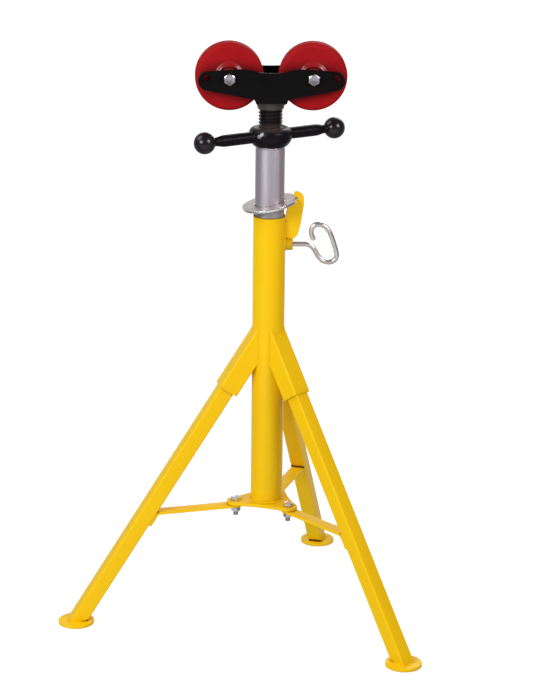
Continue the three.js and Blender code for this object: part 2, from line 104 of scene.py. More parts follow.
# ------------------------------------------------------------------ node helpers
def add(nt, kind, props=None, **ins):
    n = nt.nodes.new(kind)
    for k, v in (props or {}).items():
        setattr(n, k, v)
    for k, v in ins.items():
        key = int(k[1:]) if k[0] == "_" and k[1:].isdigit() else k.replace("_", " ")
        s = n.inputs[key]
        if isinstance(v, bpy.types.NodeSocket):
            nt.links.new(v, s)
        else:
            s.default_value = v
    return n


def material(name):
    m = bpy.data.materials.new(name)
    m.use_nodes = True
    nt = m.node_tree
    b = nt.nodes["Principled BSDF"]
    return m, nt, b


def place_of(nt, scale=(1, 1, 1)):
    """object coordinates in metres, stretched by scale"""
    c = add(nt, "ShaderNodeTexCoord")
    mp = add(nt, "ShaderNodeMapping", Vector=c.outputs["Object"])
    mp.inputs["Scale"].default_value = scale
    return mp.outputs["Vector"]


def noise(nt, vec, scale, detail=3.0, rough=0.5, distortion=0.0):
    n = add(nt, "ShaderNodeTexNoise", Vector=vec, Scale=scale, Detail=detail, Roughness=rough, Distortion=distortion)
    return n.outputs["Fac"]


def remap(nt, fac, a, b, c, d):
    n = add(nt, "ShaderNodeMapRange", Value=fac)
    n.inputs["From Min"].default_value = a
    n.inputs["From Max"].default_value = b
    n.inputs["To Min"].default_value = c
    n.inputs["To Max"].default_value = d
    return n.outputs["Result"]


def mixc(nt, fac, a, b, blend="MIX"):
    n = nt.nodes.new("ShaderNodeMix")
    n.data_type = "RGBA"
    n.blend_type = blend
    for sock, v in ((n.inputs[0], fac), (n.inputs[6], a), (n.inputs[7], b)):
        if isinstance(v, bpy.types.NodeSocket):
            nt.links.new(v, sock)
        else:
            sock.default_value = v if not isinstance(v, tuple) or len(v) == 4 else (*v, 1)
    return n.outputs[2]


def mathn(nt, op, a, b=0.0, clamp=False):
    n = nt.nodes.new("ShaderNodeMath")
    n.operation = op
    n.use_clamp = clamp
    for sock, v in ((n.inputs[0], a), (n.inputs[1], b)):
        if isinstance(v, bpy.types.NodeSocket):
            nt.links.new(v, sock)
        else:
            sock.default_value = v
    return n.outputs[0]


def bump(nt, height, strength, distance, normal=None):
    n = add(nt, "ShaderNodeBump", Height=height, Strength=strength, Distance=distance)
    if normal is not None:
        nt.links.new(normal, n.inputs["Normal"])
    return n.outputs["Normal"]


def occlusion(nt, distance, samples=6):
    n = nt.nodes.new("ShaderNodeAmbientOcclusion")
    n.samples = samples
    n.inputs["Distance"].default_value = distance
    return n.outputs["AO"]


def lin(r, g, b):
    f = lambda c: (c / 255 / 12.92) if c / 255 <= 0.04045 else ((c / 255 + 0.055) / 1.055) ** 2.4
    return (f(r), f(g), f(b), 1.0)


# ------------------------------------------------------------------ materials
def yellow_paint(name="yellow_paint", weld=False, a=(249, 201, 10), c=(252, 206, 13), rim=None):
    m, nt, b = material(name)
    v = place_of(nt)
    cloud = noise(nt, v, 11.0, 4.0, 0.55)
    fine = noise(nt, v, 160.0, 3.0, 0.6)
    base = mixc(nt, remap(nt, cloud, 0.3, 0.7, 0, 1), lin(*a), lin(*c))
    base = mixc(nt, remap(nt, fine, 0.62, 0.8, 0.0, 0.25), base, lin(234, 176, 24))
    # painted shade: darker in the corners and creases, from ambient occlusion, broken up by noise into uneven soiling
    ao = occlusion(nt, 0.011, 8)
    corner = remap(nt, ao, 0.2, 0.66, 1.0, 0.0)
    corner_soil_and_shade = mathn(nt, "MULTIPLY", corner, remap(nt, noise(nt, v, 70.0, 4.0, 0.6), 0.25, 0.7, 0.35, 1.0), True)
    base = mixc(nt, mathn(nt, "MULTIPLY", corner_soil_and_shade, 0.25 if weld else 0.45), base, lin(150, 100, 20))
    # scuffs: thin, mostly along the bars
    sv = place_of(nt, (1.0, 1.0, 0.22))
    scuff = remap(nt, noise(nt, sv, 240.0, 5.0, 0.7, 0.4), 0.70, 0.78, 0.0, 1.0)
    patch = remap(nt, noise(nt, v, 22.0, 2.0, 0.5), 0.55, 0.7, 0.0, 1.0)
    scuff = mathn(nt, "MULTIPLY", scuff, patch, True)
    base = mixc(nt, mathn(nt, "MULTIPLY", scuff, 0.5), base, lin(205, 150, 30))
    if rim:
        # a darker brown band round the mouth of the tube, deepest at the rim
        height = add(nt, "ShaderNodeSeparateXYZ", Vector=v).outputs[2]
        height = mathn(nt, "ADD", height, remap(nt, noise(nt, v, 90.0, 3.0, 0.6), 0.3, 0.7, -0.0009, 0.0009))
        rim_band = remap(nt, height, (rim - 2.6) / 1000, (rim - 0.4) / 1000, 0.0, 1.0)
        base = mixc(nt, mathn(nt, "MULTIPLY", mathn(nt, "POWER", rim_band, 1.6), 0.7), base, lin(84, 60, 26))
    nt.links.new(base, b.inputs["Base Color"])
    r = mathn(nt, "ADD", remap(nt, noise(nt, v, 38.0, 3.0, 0.5), 0.3, 0.7, 0.30, 0.40), mathn(nt, "MULTIPLY", corner_soil_and_shade, 0.25))
    r = mathn(nt, "ADD", r, mathn(nt, "MULTIPLY", scuff, 0.2), True)
    nt.links.new(r, b.inputs["Roughness"])
    b.inputs["Specular IOR Level"].default_value = 0.14
    b.inputs["Coat Weight"].default_value = 0.03
    b.inputs["Coat Roughness"].default_value = 0.16
    peel = noise(nt, v, 420.0, 2.0, 0.45)
    wave = noise(nt, v, 60.0, 2.0, 0.5)
    n = bump(nt, peel, 0.16 if not weld else 0.35, 0.0004)
    n = bump(nt, wave, 0.12, 0.0012, n)
    if weld:
        n = bump(nt, noise(nt, v, 900.0, 3.0, 0.6), 0.3, 0.0004, n)
    nt.links.new(n, b.inputs["Normal"])
    return m


def zinc_tube():
    m, nt, b = material("zinc_tube")
    v = place_of(nt)
    streak = noise(nt, place_of(nt, (1.0, 1.0, 0.02)), 330.0, 4.0, 0.6)
    cloud = noise(nt, v, 26.0, 4.0, 0.55)
    spang = nt.nodes.new("ShaderNodeTexVoronoi")
    nt.links.new(v, spang.inputs["Vector"])
    spang.inputs["Scale"].default_value = 210.0
    sp = add(nt, "ShaderNodeSeparateColor", Color=spang.outputs["Color"]).outputs[0]
    base = mixc(nt, remap(nt, streak, 0.3, 0.7, 0.0, 1.0), lin(194, 189, 196), lin(207, 202, 209))
    base = mixc(nt, remap(nt, cloud, 0.35, 0.75, 0.0, 0.45), base, lin(186, 180, 186))
    base = mixc(nt, mathn(nt, "MULTIPLY", sp, 0.12), base, lin(216, 210, 218))
    # painted shade: darker where the ring and the post's rim shade it, from ambient occlusion
    ao = occlusion(nt, 0.012, 8)
    base = mixc(nt, remap(nt, ao, 0.25, 0.8, 0.10, 0.0), base, lin(92, 78, 66))
    nt.links.new(base, b.inputs["Base Color"])
    b.inputs["Metallic"].default_value = 1.0
    r = remap(nt, streak, 0.25, 0.75, 0.46, 0.56)
    r = mathn(nt, "ADD", r, remap(nt, cloud, 0.4, 0.7, 0.0, 0.08), True)
    nt.links.new(r, b.inputs["Roughness"])
    n = bump(nt, streak, 0.10, 0.0002)
    n = bump(nt, noise(nt, v, 300.0, 3.0, 0.5), 0.05, 0.0003, n)
    nt.links.new(n, b.inputs["Normal"])
    return m


def bright_steel(name, a=(186, 180, 172), c=(205, 200, 194), rough=(0.24, 0.38), turned=None, crevice_shade=0.5, edge=None):
    """plated steel; turned gives the direction across which fine marks run, as a scale;
    edge is a disc (x, y, z, radius) in mm whose rim gets a lighter base colour, a painted highlight, and less
    roughness"""
    m, nt, b = material(name)
    v = place_of(nt)
    marks = noise(nt, place_of(nt, turned or (1.0, 1.0, 1.0)), 420.0, 4.0, 0.6)
    cloud = noise(nt, v, 48.0, 4.0, 0.6)
    base = mixc(nt, remap(nt, marks, 0.3, 0.7, 0.0, 1.0), lin(*a), lin(*c))
    base = mixc(nt, remap(nt, cloud, 0.45, 0.8, 0.0, 0.4), base, lin(170, 161, 150))
    # painted shade: darker in crevices and under nearby parts, from ambient occlusion
    ao = occlusion(nt, 0.006, 6)
    base = mixc(nt, mathn(nt, "MULTIPLY", remap(nt, ao, 0.2, 0.85, 1.0, 0.0), crevice_shade), base, lin(62, 54, 46))
    b.inputs["Metallic"].default_value = 1.0
    r = remap(nt, cloud, 0.3, 0.7, rough[0], rough[1])
    # painted highlight: the rim of the edge disc is lighter and less rough
    if edge:
        away = nt.nodes.new("ShaderNodeVectorMath")
        away.operation = "DISTANCE"
        nt.links.new(v, away.inputs[0])
        away.inputs[1].default_value = (OX + edge[0] / 1000, OY + edge[1] / 1000, edge[2] / 1000)
        rim = remap(nt, away.outputs["Value"], (edge[3] - 0.7) / 1000, (edge[3] - 0.25) / 1000, 0.0, 1.0)
        base = mixc(nt, mathn(nt, "MULTIPLY", rim, 0.9), base, lin(252, 250, 250))
        r = mathn(nt, "SUBTRACT", r, mathn(nt, "MULTIPLY", rim, 0.14))
    nt.links.new(base, b.inputs["Base Color"])
    nt.links.new(r, b.inputs["Roughness"])
    n = bump(nt, marks, 0.10, 0.0002)
    n = bump(nt, noise(nt, v, 140.0, 3.0, 0.5), 0.06, 0.0006, n)
    nt.links.new(n, b.inputs["Normal"])
    return m


def black_paint(name, rough=(0.30, 0.45), cast=0.0, base0=(14, 13, 14), base1=(21, 19, 21), gloss=0.25, coat=0.0, tint=None, highlight_spots=()):
    m, nt, b = material(name)
    v = place_of(nt)
    cloud = noise(nt, v, 30.0, 4.0, 0.6)
    base = mixc(nt, remap(nt, cloud, 0.3, 0.75, 0.0, 1.0), lin(*base0), lin(*base1))
    rub = remap(nt, noise(nt, v, 190.0, 5.0, 0.7), 0.68, 0.8, 0.0, 0.35)
    base = mixc(nt, rub, base, lin(44, 41, 41))
    if tint:
        # a lighter brown band by height, full at the first height and gone by the second, (low, high, strength) in mm
        height = add(nt, "ShaderNodeSeparateXYZ", Vector=v).outputs[2]
        brown_band = mathn(nt, "MULTIPLY", remap(nt, height, tint[0] / 1000, tint[1] / 1000, 1.0, 0.0), tint[2])
        base = mixc(nt, brown_band, base, lin(98, 86, 80))
    r = remap(nt, noise(nt, v, 55.0, 4.0, 0.6), 0.3, 0.7, rough[0], rough[1])
    if highlight_spots:
        # painted highlight: spots turned to bright metal, given as (x, y, z, size) in mm
        broken = remap(nt, noise(nt, v, 420.0, 3.0, 0.6), 0.3, 0.7, -0.0012, 0.0012)
        highlight_mask = 0.0
        for x, y, z, size in highlight_spots:
            away = nt.nodes.new("ShaderNodeVectorMath")
            away.operation = "DISTANCE"
            nt.links.new(v, away.inputs[0])
            away.inputs[1].default_value = (OX + x / 1000, OY + y / 1000, z / 1000)
            spot = remap(nt, mathn(nt, "ADD", away.outputs["Value"], broken), size * 0.45 / 1000, size * 1.25 / 1000, 1.0, 0.0)
            highlight_mask = mathn(nt, "MAXIMUM", spot, highlight_mask)
        base = mixc(nt, highlight_mask, base, lin(176, 166, 182))
        r = mathn(nt, "ADD", r, mathn(nt, "MULTIPLY", highlight_mask, 0.1))
        nt.links.new(mathn(nt, "MULTIPLY", highlight_mask, 0.85), b.inputs["Metallic"])
    nt.links.new(base, b.inputs["Base Color"])
    nt.links.new(r, b.inputs["Roughness"])
    b.inputs["Specular IOR Level"].default_value = gloss
    b.inputs["Coat Weight"].default_value = coat
    b.inputs["Coat Roughness"].default_value = 0.2
    n = bump(nt, noise(nt, v, 380.0, 2.0, 0.5), 0.12, 0.0004)
    if cast:
        n = bump(nt, noise(nt, v, 120.0, 4.0, 0.6), cast, 0.0012, n)
    nt.links.new(n, b.inputs["Normal"])
    return m


def red_tyre():
    m, nt, b = material("red_roller")
    v = place_of(nt)
    cloud = noise(nt, v, 24.0, 4.0, 0.6)
    fine = noise(nt, v, 210.0, 4.0, 0.6)
    base = mixc(nt, remap(nt, cloud, 0.3, 0.7, 0.0, 1.0), lin(158, 13, 19), lin(168, 16, 23))
    base = mixc(nt, remap(nt, fine, 0.55, 0.8, 0.0, 0.35), base, lin(130, 8, 13))
    # painted shade: darker near the side plates and the hub, from ambient occlusion, standing for the side plates'
    # shadow
    ao = occlusion(nt, 0.026, 8)
    base = mixc(nt, mathn(nt, "MULTIPLY", remap(nt, ao, 0.35, 0.95, 1.0, 0.0), 0.95), base, lin(38, 6, 10))
    nt.links.new(base, b.inputs["Base Color"])
    # the hub ring, worn smooth, shines more than the face: distance from the axle, either side
    xyz = add(nt, "ShaderNodeSeparateXYZ", Vector=v).outputs
    hx = mathn(nt, "ADD", mathn(nt, "MULTIPLY", mathn(nt, "SUBTRACT", xyz[0], OX), cos(rad(HEAD_AZIMUTH))),
               mathn(nt, "MULTIPLY", mathn(nt, "SUBTRACT", xyz[1], OY), sin(rad(HEAD_AZIMUTH))))
    hx = mathn(nt, "SUBTRACT", mathn(nt, "ABSOLUTE", hx), AXLE_X / 1000)
    hz = mathn(nt, "SUBTRACT", xyz[2], AXLE_Z / 1000)
    from_axle = mathn(nt, "SQRT", mathn(nt, "ADD", mathn(nt, "MULTIPLY", hx, hx), mathn(nt, "MULTIPLY", hz, hz)))
    hub = remap(nt, from_axle, 0.0262, 0.0300, 1.0, 0.0)
    r = remap(nt, noise(nt, v, 70.0, 4.0, 0.6), 0.3, 0.7, 0.60, 0.70)
    r = mathn(nt, "SUBTRACT", r, mathn(nt, "MULTIPLY", hub, 0.42), True)
    nt.links.new(r, b.inputs["Roughness"])
    nt.links.new(mathn(nt, "ADD", mathn(nt, "MULTIPLY", hub, 0.40), 0.12), b.inputs["Specular IOR Level"])
    n = bump(nt, fine, 0.14, 0.0004)
    n = bump(nt, noise(nt, v, 45.0, 3.0, 0.5), 0.10, 0.0012, n)
    nt.links.new(n, b.inputs["Normal"])
    return m


def bronze():
    m, nt, b = material("bronze_bush")
    v = place_of(nt)
    grit = noise(nt, v, 500.0, 4.0, 0.6)
    base = mixc(nt, remap(nt, grit, 0.3, 0.7, 0.0, 1.0), lin(132, 98, 52), lin(160, 124, 72))
    nt.links.new(base, b.inputs["Base Color"])
    b.inputs["Metallic"].default_value = 1.0
    nt.links.new(remap(nt, grit, 0.3, 0.7, 0.38, 0.55), b.inputs["Roughness"])
    nt.links.new(bump(nt, grit, 0.25, 0.0003), b.inputs["Normal"])
    return m


def floor_white():
    m, nt, b = material("studio_floor")
    v = place_of(nt)
    base = mixc(nt, noise(nt, v, 3.0, 3.0, 0.5), (0.60, 0.60, 0.60, 1), (0.62, 0.62, 0.62, 1))
    nt.links.new(base, b.inputs["Base Color"])
    far = nt.nodes.new("ShaderNodeVectorMath")
    far.operation = "LENGTH"
    nt.links.new(v, far.inputs[0])
    glow = remap(nt, far.outputs["Value"], 1.2, 5.0, 0.62, 1.0)
    b.inputs["Emission Color"].default_value = (1, 1, 1, 1)
    nt.links.new(glow, b.inputs["Emission Strength"])
    b.inputs["Roughness"].default_value = 0.9
    b.inputs["Specular IOR Level"].default_value = 0.0
    return m


YELLOW = yellow_paint()
YELLOW_POST = yellow_paint("yellow_post", rim=POST_TOP)
WELD = yellow_paint("yellow_weld", True)
# painted shade: a darker copy of the yellow paint, used for the pin's boss
YELLOW_SHADED = yellow_paint("yellow_shaded", False, (206, 165, 18), (212, 171, 22))
# dark brown for beads laid in crevices
CREVICE_DARK = yellow_paint("crevice_dark", True, (104, 66, 24), (80, 50, 22))
ZINC = zinc_tube()
RING_STEEL = bright_steel("ring_steel", (212, 204, 199), (232, 226, 221), (0.26, 0.40), crevice_shade=0.4, edge=(RING_X, 0, RING_Z, RING_R))
PIN_STEEL = bright_steel("pin_steel", (238, 234, 231), (249, 247, 245), (0.24, 0.34), crevice_shade=0.2)
BOLT_STEEL = bright_steel("bolt_steel", (214, 210, 216), (236, 232, 238), (0.24, 0.36), crevice_shade=0.35)
HEAD_STEEL = bright_steel("head_steel", (186, 183, 194), (208, 205, 215), (0.22, 0.32), crevice_shade=0.9)
# painted highlight: spots where the arms meet the collar, mirrored to the other arm
HIGHLIGHT_SPOTS = [(-20.5, -33.9, 937.6, 3.9), (-17.5, -34.9, 940.2, 2.8), (-14.5, -35.0, 942.6, 3.1), (-33.5, -28.5, 936.5, 2.4)]
HIGHLIGHT_SPOTS += [(-x, -y, z, r) for x, y, z, r in HIGHLIGHT_SPOTS]
CAST_BLACK = black_paint("cast_black", (0.28, 0.40), 0.22, (12, 10, 13), (19, 16, 20), gloss=0.14, tint=(949.0, 943.5, 0.42), highlight_spots=HIGHLIGHT_SPOTS)
BALL_BLACK = black_paint("ball_black", (0.20, 0.28), 0.0, (18, 15, 19), (26, 22, 27), gloss=0.5)
HEAD_BLACK = black_paint("head_black", (0.36, 0.48), 0.06, (7, 6, 6), (12, 10, 10), gloss=0.10)
# painted light: a lighter copy of the black paint for the neck and the head's weld, which sit in the side plates'
# shade
NECK_BLACK_LIT = black_paint("neck_black_lit", (0.34, 0.46), 0.06, (66, 61, 60), (82, 77, 75), gloss=0.3)
SCREW_BLACK = black_paint("screw_black", (0.26, 0.40), 0.05, (16, 14, 14), (26, 23, 23), gloss=0.26, tint=(950.0, 960.0, 0.48))
RED = red_tyre()
BRONZE = bronze()

CARRIED = {
    "red_roller": RED, "bronze_bush": BRONZE, "yellow_paint": YELLOW, "zinc_plate": ZINC,
    "bright_plate": BOLT_STEEL, "black_paint": HEAD_BLACK,
}


# ------------------------------------------------------------------ mesh helpers
def turn_z(deg):
    return Matrix.Rotation(rad(deg), 4, "Z")


IDENT = Matrix.Identity(4)
HEAD = turn_z(HEAD_AZIMUTH)


def piece(name, parts, mat, body, nodes=(), at=IDENT, sharp=32.0):
    """one object of (vertices, faces) parts, in millimetres, moved by at, then into the frame"""
    verts, faces = [], []
    for v, f in parts:
        k = len(verts)
        verts += [tuple(p) for p in v]
        faces += [tuple(i + k for i in q) for q in f]
    me = bpy.data.meshes.new(name)
    me.from_pydata(verts, [], faces)
    bm = bmesh.new()
    bm.from_mesh(me)
    bmesh.ops.remove_doubles(bm, verts=bm.verts, dist=1e-4)
    bmesh.ops.dissolve_degenerate(bm, edges=bm.edges, dist=1e-4)
    bmesh.ops.recalc_face_normals(bm, faces=bm.faces)
    bm.transform(Matrix.Translation((OX, OY, 0)) @ Matrix.Scale(0.001, 4) @ at)
    bm.to_mesh(me)
    bm.free()
    o = bpy.data.objects.new(name, me)
    bpy.context.scene.collection.objects.link(o)
    me.materials.append(mat)
    smooth(o, sharp)
    if body:
        dress(o, body, nodes)
    return o


def dress(o, body, nodes=()):
    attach(o, body)
    if nodes:
        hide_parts(*nodes)


def smooth(o, sharp):
    me = o.data
    me.polygons.foreach_set("use_smooth", [True] * len(me.polygons))
    me.set_sharp_from_angle(angle=rad(sharp))
    me.update()


def settle(o, sharp=32.0):
    """applies the object's modifiers to its mesh"""
    bpy.context.view_layer.update()
    dg = bpy.context.evaluated_depsgraph_get()
    new = bpy.data.meshes.new_from_object(o.evaluated_get(dg))
    o.modifiers.clear()
    o.data = new
    smooth(o, sharp)
    return o


def carve(o, cutter, op="DIFFERENCE", sharp=32.0):
    md = o.modifiers.new("cut", "BOOLEAN")
    md.operation = op
    md.solver = "EXACT"
    md.object = cutter
    settle(o, sharp)
    bpy.data.objects.remove(cutter, do_unlink=True)
    return o


def lathe(section, n=128, closed=True):
    """about Z, from (radius, height) points; closed joins the last point to the first"""
    verts, faces = [], []
    m = len(section)
    for i in range(n):
        a = 2 * pi * i / n
        for r, z in section:
            verts.append((r * cos(a), r * sin(a), z))
    for i in range(n):
        k, q = i * m, ((i + 1) % n) * m
        for j in range(m if closed else m - 1):
            l = (j + 1) % m
            faces.append((k + j, q + j, q + l, k + l))
    out = []
    for f in faces:     # drop the corners that meet on the axis
        keep = []
        for i in f:
            p = verts[i]
            if not any(abs(p[0] - verts[t][0]) < 1e-7 and abs(p[1] - verts[t][1]) < 1e-7 and abs(p[2] - verts[t][2]) < 1e-7 for t in keep):
                keep.append(i)
        if len(keep) > 2:
            out.append(tuple(keep))
    return verts, out


def move(part, m):
    v, f = part
    return [tuple(m @ Vector(p)) for p in v], f


TO_X = Matrix.Rotation(rad(90), 4, "Y")       # Z to X
TO_Y = Matrix.Rotation(rad(-90), 4, "X")      # Z to Y


def rounded(pts, radii, n=6, closed=True):
    """2-D points with every corner rounded by its radius"""
    out = []
    m = len(pts)
    for i, p in enumerate(pts):
        r = radii[i] if isinstance(radii, (list, tuple)) else radii
        if r <= 0 or (not closed and i in (0, m - 1)):
            out.append(tuple(p))
            continue
        a, b = Vector(pts[i - 1]), Vector(pts[(i + 1) % m])
        c = Vector(p)
        u, w = (a - c), (b - c)
        lu, lw = u.length, w.length
        u.normalize(), w.normalize()
        dot = max(-1.0, min(1.0, u.dot(w)))
        half = math.acos(dot) / 2
        if half > rad(89.5):
            out.append(tuple(p))
            continue
        t = min(r / math.tan(half), 0.48 * lu, 0.48 * lw)
        r = t * math.tan(half)
        mid = (u + w).normalized()
        cen = c + mid * (r / sin(half))
        s, e = c + u * t - cen, c + w * t - cen
        a0, a1 = math.atan2(s.y, s.x), math.atan2(e.y, e.x)
        d = (a1 - a0 + pi) % (2 * pi) - pi
        for k in range(n + 1):
            a = a0 + d * k / n
            out.append((cen.x + r * cos(a), cen.y + r * sin(a)))
    return out


def area2(p):
    return sum(p[i][0] * p[(i + 1) % len(p)][1] - p[(i + 1) % len(p)][0] * p[i][1] for i in range(len(p))) / 2


def offset(loop, d):
    """moves each point d to the left of the loop's direction"""
    out = []
    m = len(loop)
    for i in range(m):
        a, b, c = Vector(loop[i - 1]), Vector(loop[i]), Vector(loop[(i + 1) % m])
        e, f = (b - a).normalized(), (c - b).normalized()
        n1, n2 = Vector((-e.y, e.x)), Vector((-f.y, f.x))
        n = n1 + n2
        if n.length < 1e-6:
            n = n1
        n.normalize()
        k = d / max(0.35, n.dot(n1))
        out.append((b.x + n.x * k, b.y + n.y * k))
    return out


def plate(outer, holes, t, b, k=3):
    """flat plate in XY, thickness t about z = 0, with its edges rounded by b"""
    loops = [outer if area2(outer) > 0 else outer[::-1]]
    loops += [h if area2(h) < 0 else h[::-1] for h in holes]
    layers = [(b * (1 - sin(rad(90 * j / k))), -t / 2 + b * (1 - cos(rad(90 * j / k)))) for j in range(k + 1)]
    layers += [(o, -z) for o, z in reversed(layers)]
    verts, faces = [], []
    caps = [[], []]
    for loop in loops:
        m = len(loop)
        start = len(verts)
        for o, z in layers:
            verts += [(x, y, z) for x, y in offset(loop, o)]
        for j in range(len(layers) - 1):
            for i in range(m):
                p, q = start + j * m + i, start + j * m + (i + 1) % m
                faces.append((p, q, q + m, p + m))
        caps[0].append([start + i for i in range(m)])
        caps[1].append([start + (len(layers) - 1) * m + i for i in range(m)])
    for cap, flip in ((caps[0], True), (caps[1], False)):
        flat = [i for loop in cap for i in loop]
        tris = tessellate_polygon([[Vector(verts[i]) for i in loop] for loop in cap])
        for tri in tris:
            tri = [flat[i] for i in tri]
            faces.append(tuple(tri[::-1] if flip else tri))
    return verts, faces


def circle(x, y, r, n=48):
    return [(x + r * cos(2 * pi * i / n), y + r * sin(2 * pi * i / n)) for i in range(n)]


def stand(part, y=0.0):
    """a plate drawn in XY is stood up in the X-Z plane, its thickness along Y"""
    v, f = part
    return [(a, y - c, b) for a, b, c in v], f


def sweep(path, section, closed=False, normal=None, cap=True):
    """section(i) gives 2-D points (along normal, along binormal) for path point i"""
    pts = [Vector(p) for p in path]
    m = len(pts)
    tang = []
    for i in range(m):
        a = pts[i - 1] if (i or closed) else pts[i]
        b = pts[(i + 1) % m] if (i < m - 1 or closed) else pts[i]
        tang.append((b - a).normalized())
    if normal is None:
        ref = Vector((0, 0, 1)) if abs(tang[0].z) < 0.9 else Vector((1, 0, 0))
        nrm = (ref - tang[0] * ref.dot(tang[0])).normalized()
        norms = [nrm]
        for i in range(1, m):
            nrm = norms[-1] - tang[i] * norms[-1].dot(tang[i])
            norms.append(nrm.normalized())
    else:
        norms = []
        for i in range(m):
            ref = Vector(normal(i) if callable(normal) else normal)
            norms.append((ref - tang[i] * ref.dot(tang[i])).normalized())
    verts, faces = [], []
    k = 0
    for i in range(m):
        bi = tang[i].cross(norms[i])
        sec = section(i)
        k = len(sec)
        for x, y in sec:
            verts.append(tuple(pts[i] + norms[i] * x + bi * y))
    for i in range(m if closed else m - 1):
        j = (i + 1) % m
        for q in range(k):
            w = (q + 1) % k
            faces.append((i * k + q, j * k + q, j * k + w, i * k + w))
    if not closed and cap:
        faces.append(tuple(range(k - 1, -1, -1)))
        faces.append(tuple((m - 1) * k + q for q in range(k)))
    return verts, faces


def disc(r, n=20):
    return [(r * cos(2 * pi * i / n), r * sin(2 * pi * i / n)) for i in range(n)]


def resample(path, step, closed=False):
    pts = [Vector(p) for p in path]
    if closed:
        pts.append(pts[0])
    d = [0.0]
    for a, b in zip(pts, pts[1:]):
        d.append(d[-1] + (b - a).length)
    n = max(8, int(d[-1] / step))
    out = []
    k = 0
    for i in range(n if closed else n + 1):
        s = d[-1] * i / n
        while k < len(d) - 2 and d[k + 1] < s:
            k += 1
        t = (s - d[k]) / max(1e-9, d[k + 1] - d[k])
        out.append(tuple(pts[k].lerp(pts[k + 1], t)))
    return out


def bead(path, r, closed=False, ripple=2.6, seed=0, depth=0.12):
    """weld bead: a rounded fillet with overlapping ripples"""
    rr = random.Random(seed)
    p = resample(path, 0.55, closed)
    m = len(p)
    length = 0.55 * m
    k = max(3, round(length / ripple))
    size = [1 + rr.uniform(-0.6, 0.6) * depth for _ in range(k + 1)]
    if closed:
        size[k] = size[0]

    def section(i):
        t = i / m * k
        j, f = int(t), t - int(t)
        s = size[j] * (1 - f) + size[min(j + 1, k)] * f
        # each ripple rises fast and falls slowly
        wave = f / 0.3 if f < 0.3 else (1 - f) / 0.7
        q = r * s * (1 - 0.8 * depth + depth * wave)
        if not closed:
            end = min(i, m - 1 - i) * 0.55
            q *= min(1.0, 0.35 + end / (1.2 * r)) if end < 1.2 * r else 1.0
        return disc(q, 10)

    return sweep(p, section, closed)


def crom(pts, steps=12):
    """centripetal Catmull-Rom curve through 2-D points"""
    P = [Vector(p) for p in pts]
    P = [P[0] * 2 - P[1]] + P + [P[-1] * 2 - P[-2]]
    out = []
    for i in range(1, len(P) - 2):
        p0, p1, p2, p3 = P[i - 1], P[i], P[i + 1], P[i + 2]
        t0 = 0.0
        t1 = t0 + (p1 - p0).length ** 0.5
        t2 = t1 + (p2 - p1).length ** 0.5
        t3 = t2 + (p3 - p2).length ** 0.5
        for k in range(steps):
            t = t1 + (t2 - t1) * k / steps
            a1 = p0 * ((t1 - t) / (t1 - t0)) + p1 * ((t - t0) / (t1 - t0))
            a2 = p1 * ((t2 - t) / (t2 - t1)) + p2 * ((t - t1) / (t2 - t1))
            a3 = p2 * ((t3 - t) / (t3 - t2)) + p3 * ((t - t2) / (t3 - t2))
            b1 = a1 * ((t2 - t) / (t2 - t0)) + a2 * ((t - t0) / (t2 - t0))
            b2 = a2 * ((t3 - t) / (t3 - t1)) + a3 * ((t - t1) / (t3 - t1))
            out.append(tuple(b1 * ((t2 - t) / (t2 - t1)) + b2 * ((t - t1) / (t2 - t1))))
    out.append(tuple(P[-2]))
    return out


def hexagonal(af, z0, z1, top=True, bottom=False, bore=0.0, turn=0.0, n=96, cham=0.985, dish=0.15):
    """hexagon prism about Z with chamfered ends; corners at turn + k * 60 degrees"""
    ap = af / 2
    r0 = ap * cham
    slope = math.tan(rad(30))

    def hexr(a):
        d = (math.degrees(a) - turn) % 60 - 30
        return ap / cos(rad(d))

    angles = sorted(set([2 * pi * i / n for i in range(n)] + [rad((turn + 60 * k) % 360) for k in range(6)]))
    rows = []
    inner = bore if bore else 0.0

    def ring(f, z):
        rows.append([(f(a) * cos(a), f(a) * sin(a), z(a)) for a in angles])

    if inner:
        ring(lambda a: inner, lambda a: z0 + 0.7)
        ring(lambda a: inner + 0.7, lambda a: z0)
    else:
        ring(lambda a: 0.01, lambda a: z0)
    if bottom:
        ring(lambda a: r0, lambda a: z0)
        ring(hexr, lambda a: z0 + (hexr(a) - r0) * slope)
    else:
        ring(hexr, lambda a: z0)
    if top:
        ring(hexr, lambda a: z1 - (hexr(a) - r0) * slope)
        ring(lambda a: r0, lambda a: z1)
        if not inner:
            ring(lambda a: r0 * 0.86, lambda a: z1 - 0.02)
            ring(lambda a: r0 * 0.74, lambda a: z1 - dish)
    else:
        ring(hexr, lambda a: z1)
    if inner:
        ring(lambda a: inner + 0.7, lambda a: z1)
        ring(lambda a: inner, lambda a: z1 - 0.7)
    else:
        ring(lambda a: 0.01, lambda a: z1 - dish * 1.1)
    m = len(angles)
    verts = [p for r in rows for p in r]
    faces = []
    for j in range(len(rows) - 1 + (1 if inner else 0)):
        a, b = j * m, ((j + 1) % len(rows)) * m
        for i in range(m):
            q = (i + 1) % m
            faces.append((a + i, a + q, b + q, b + i))
    return verts, faces


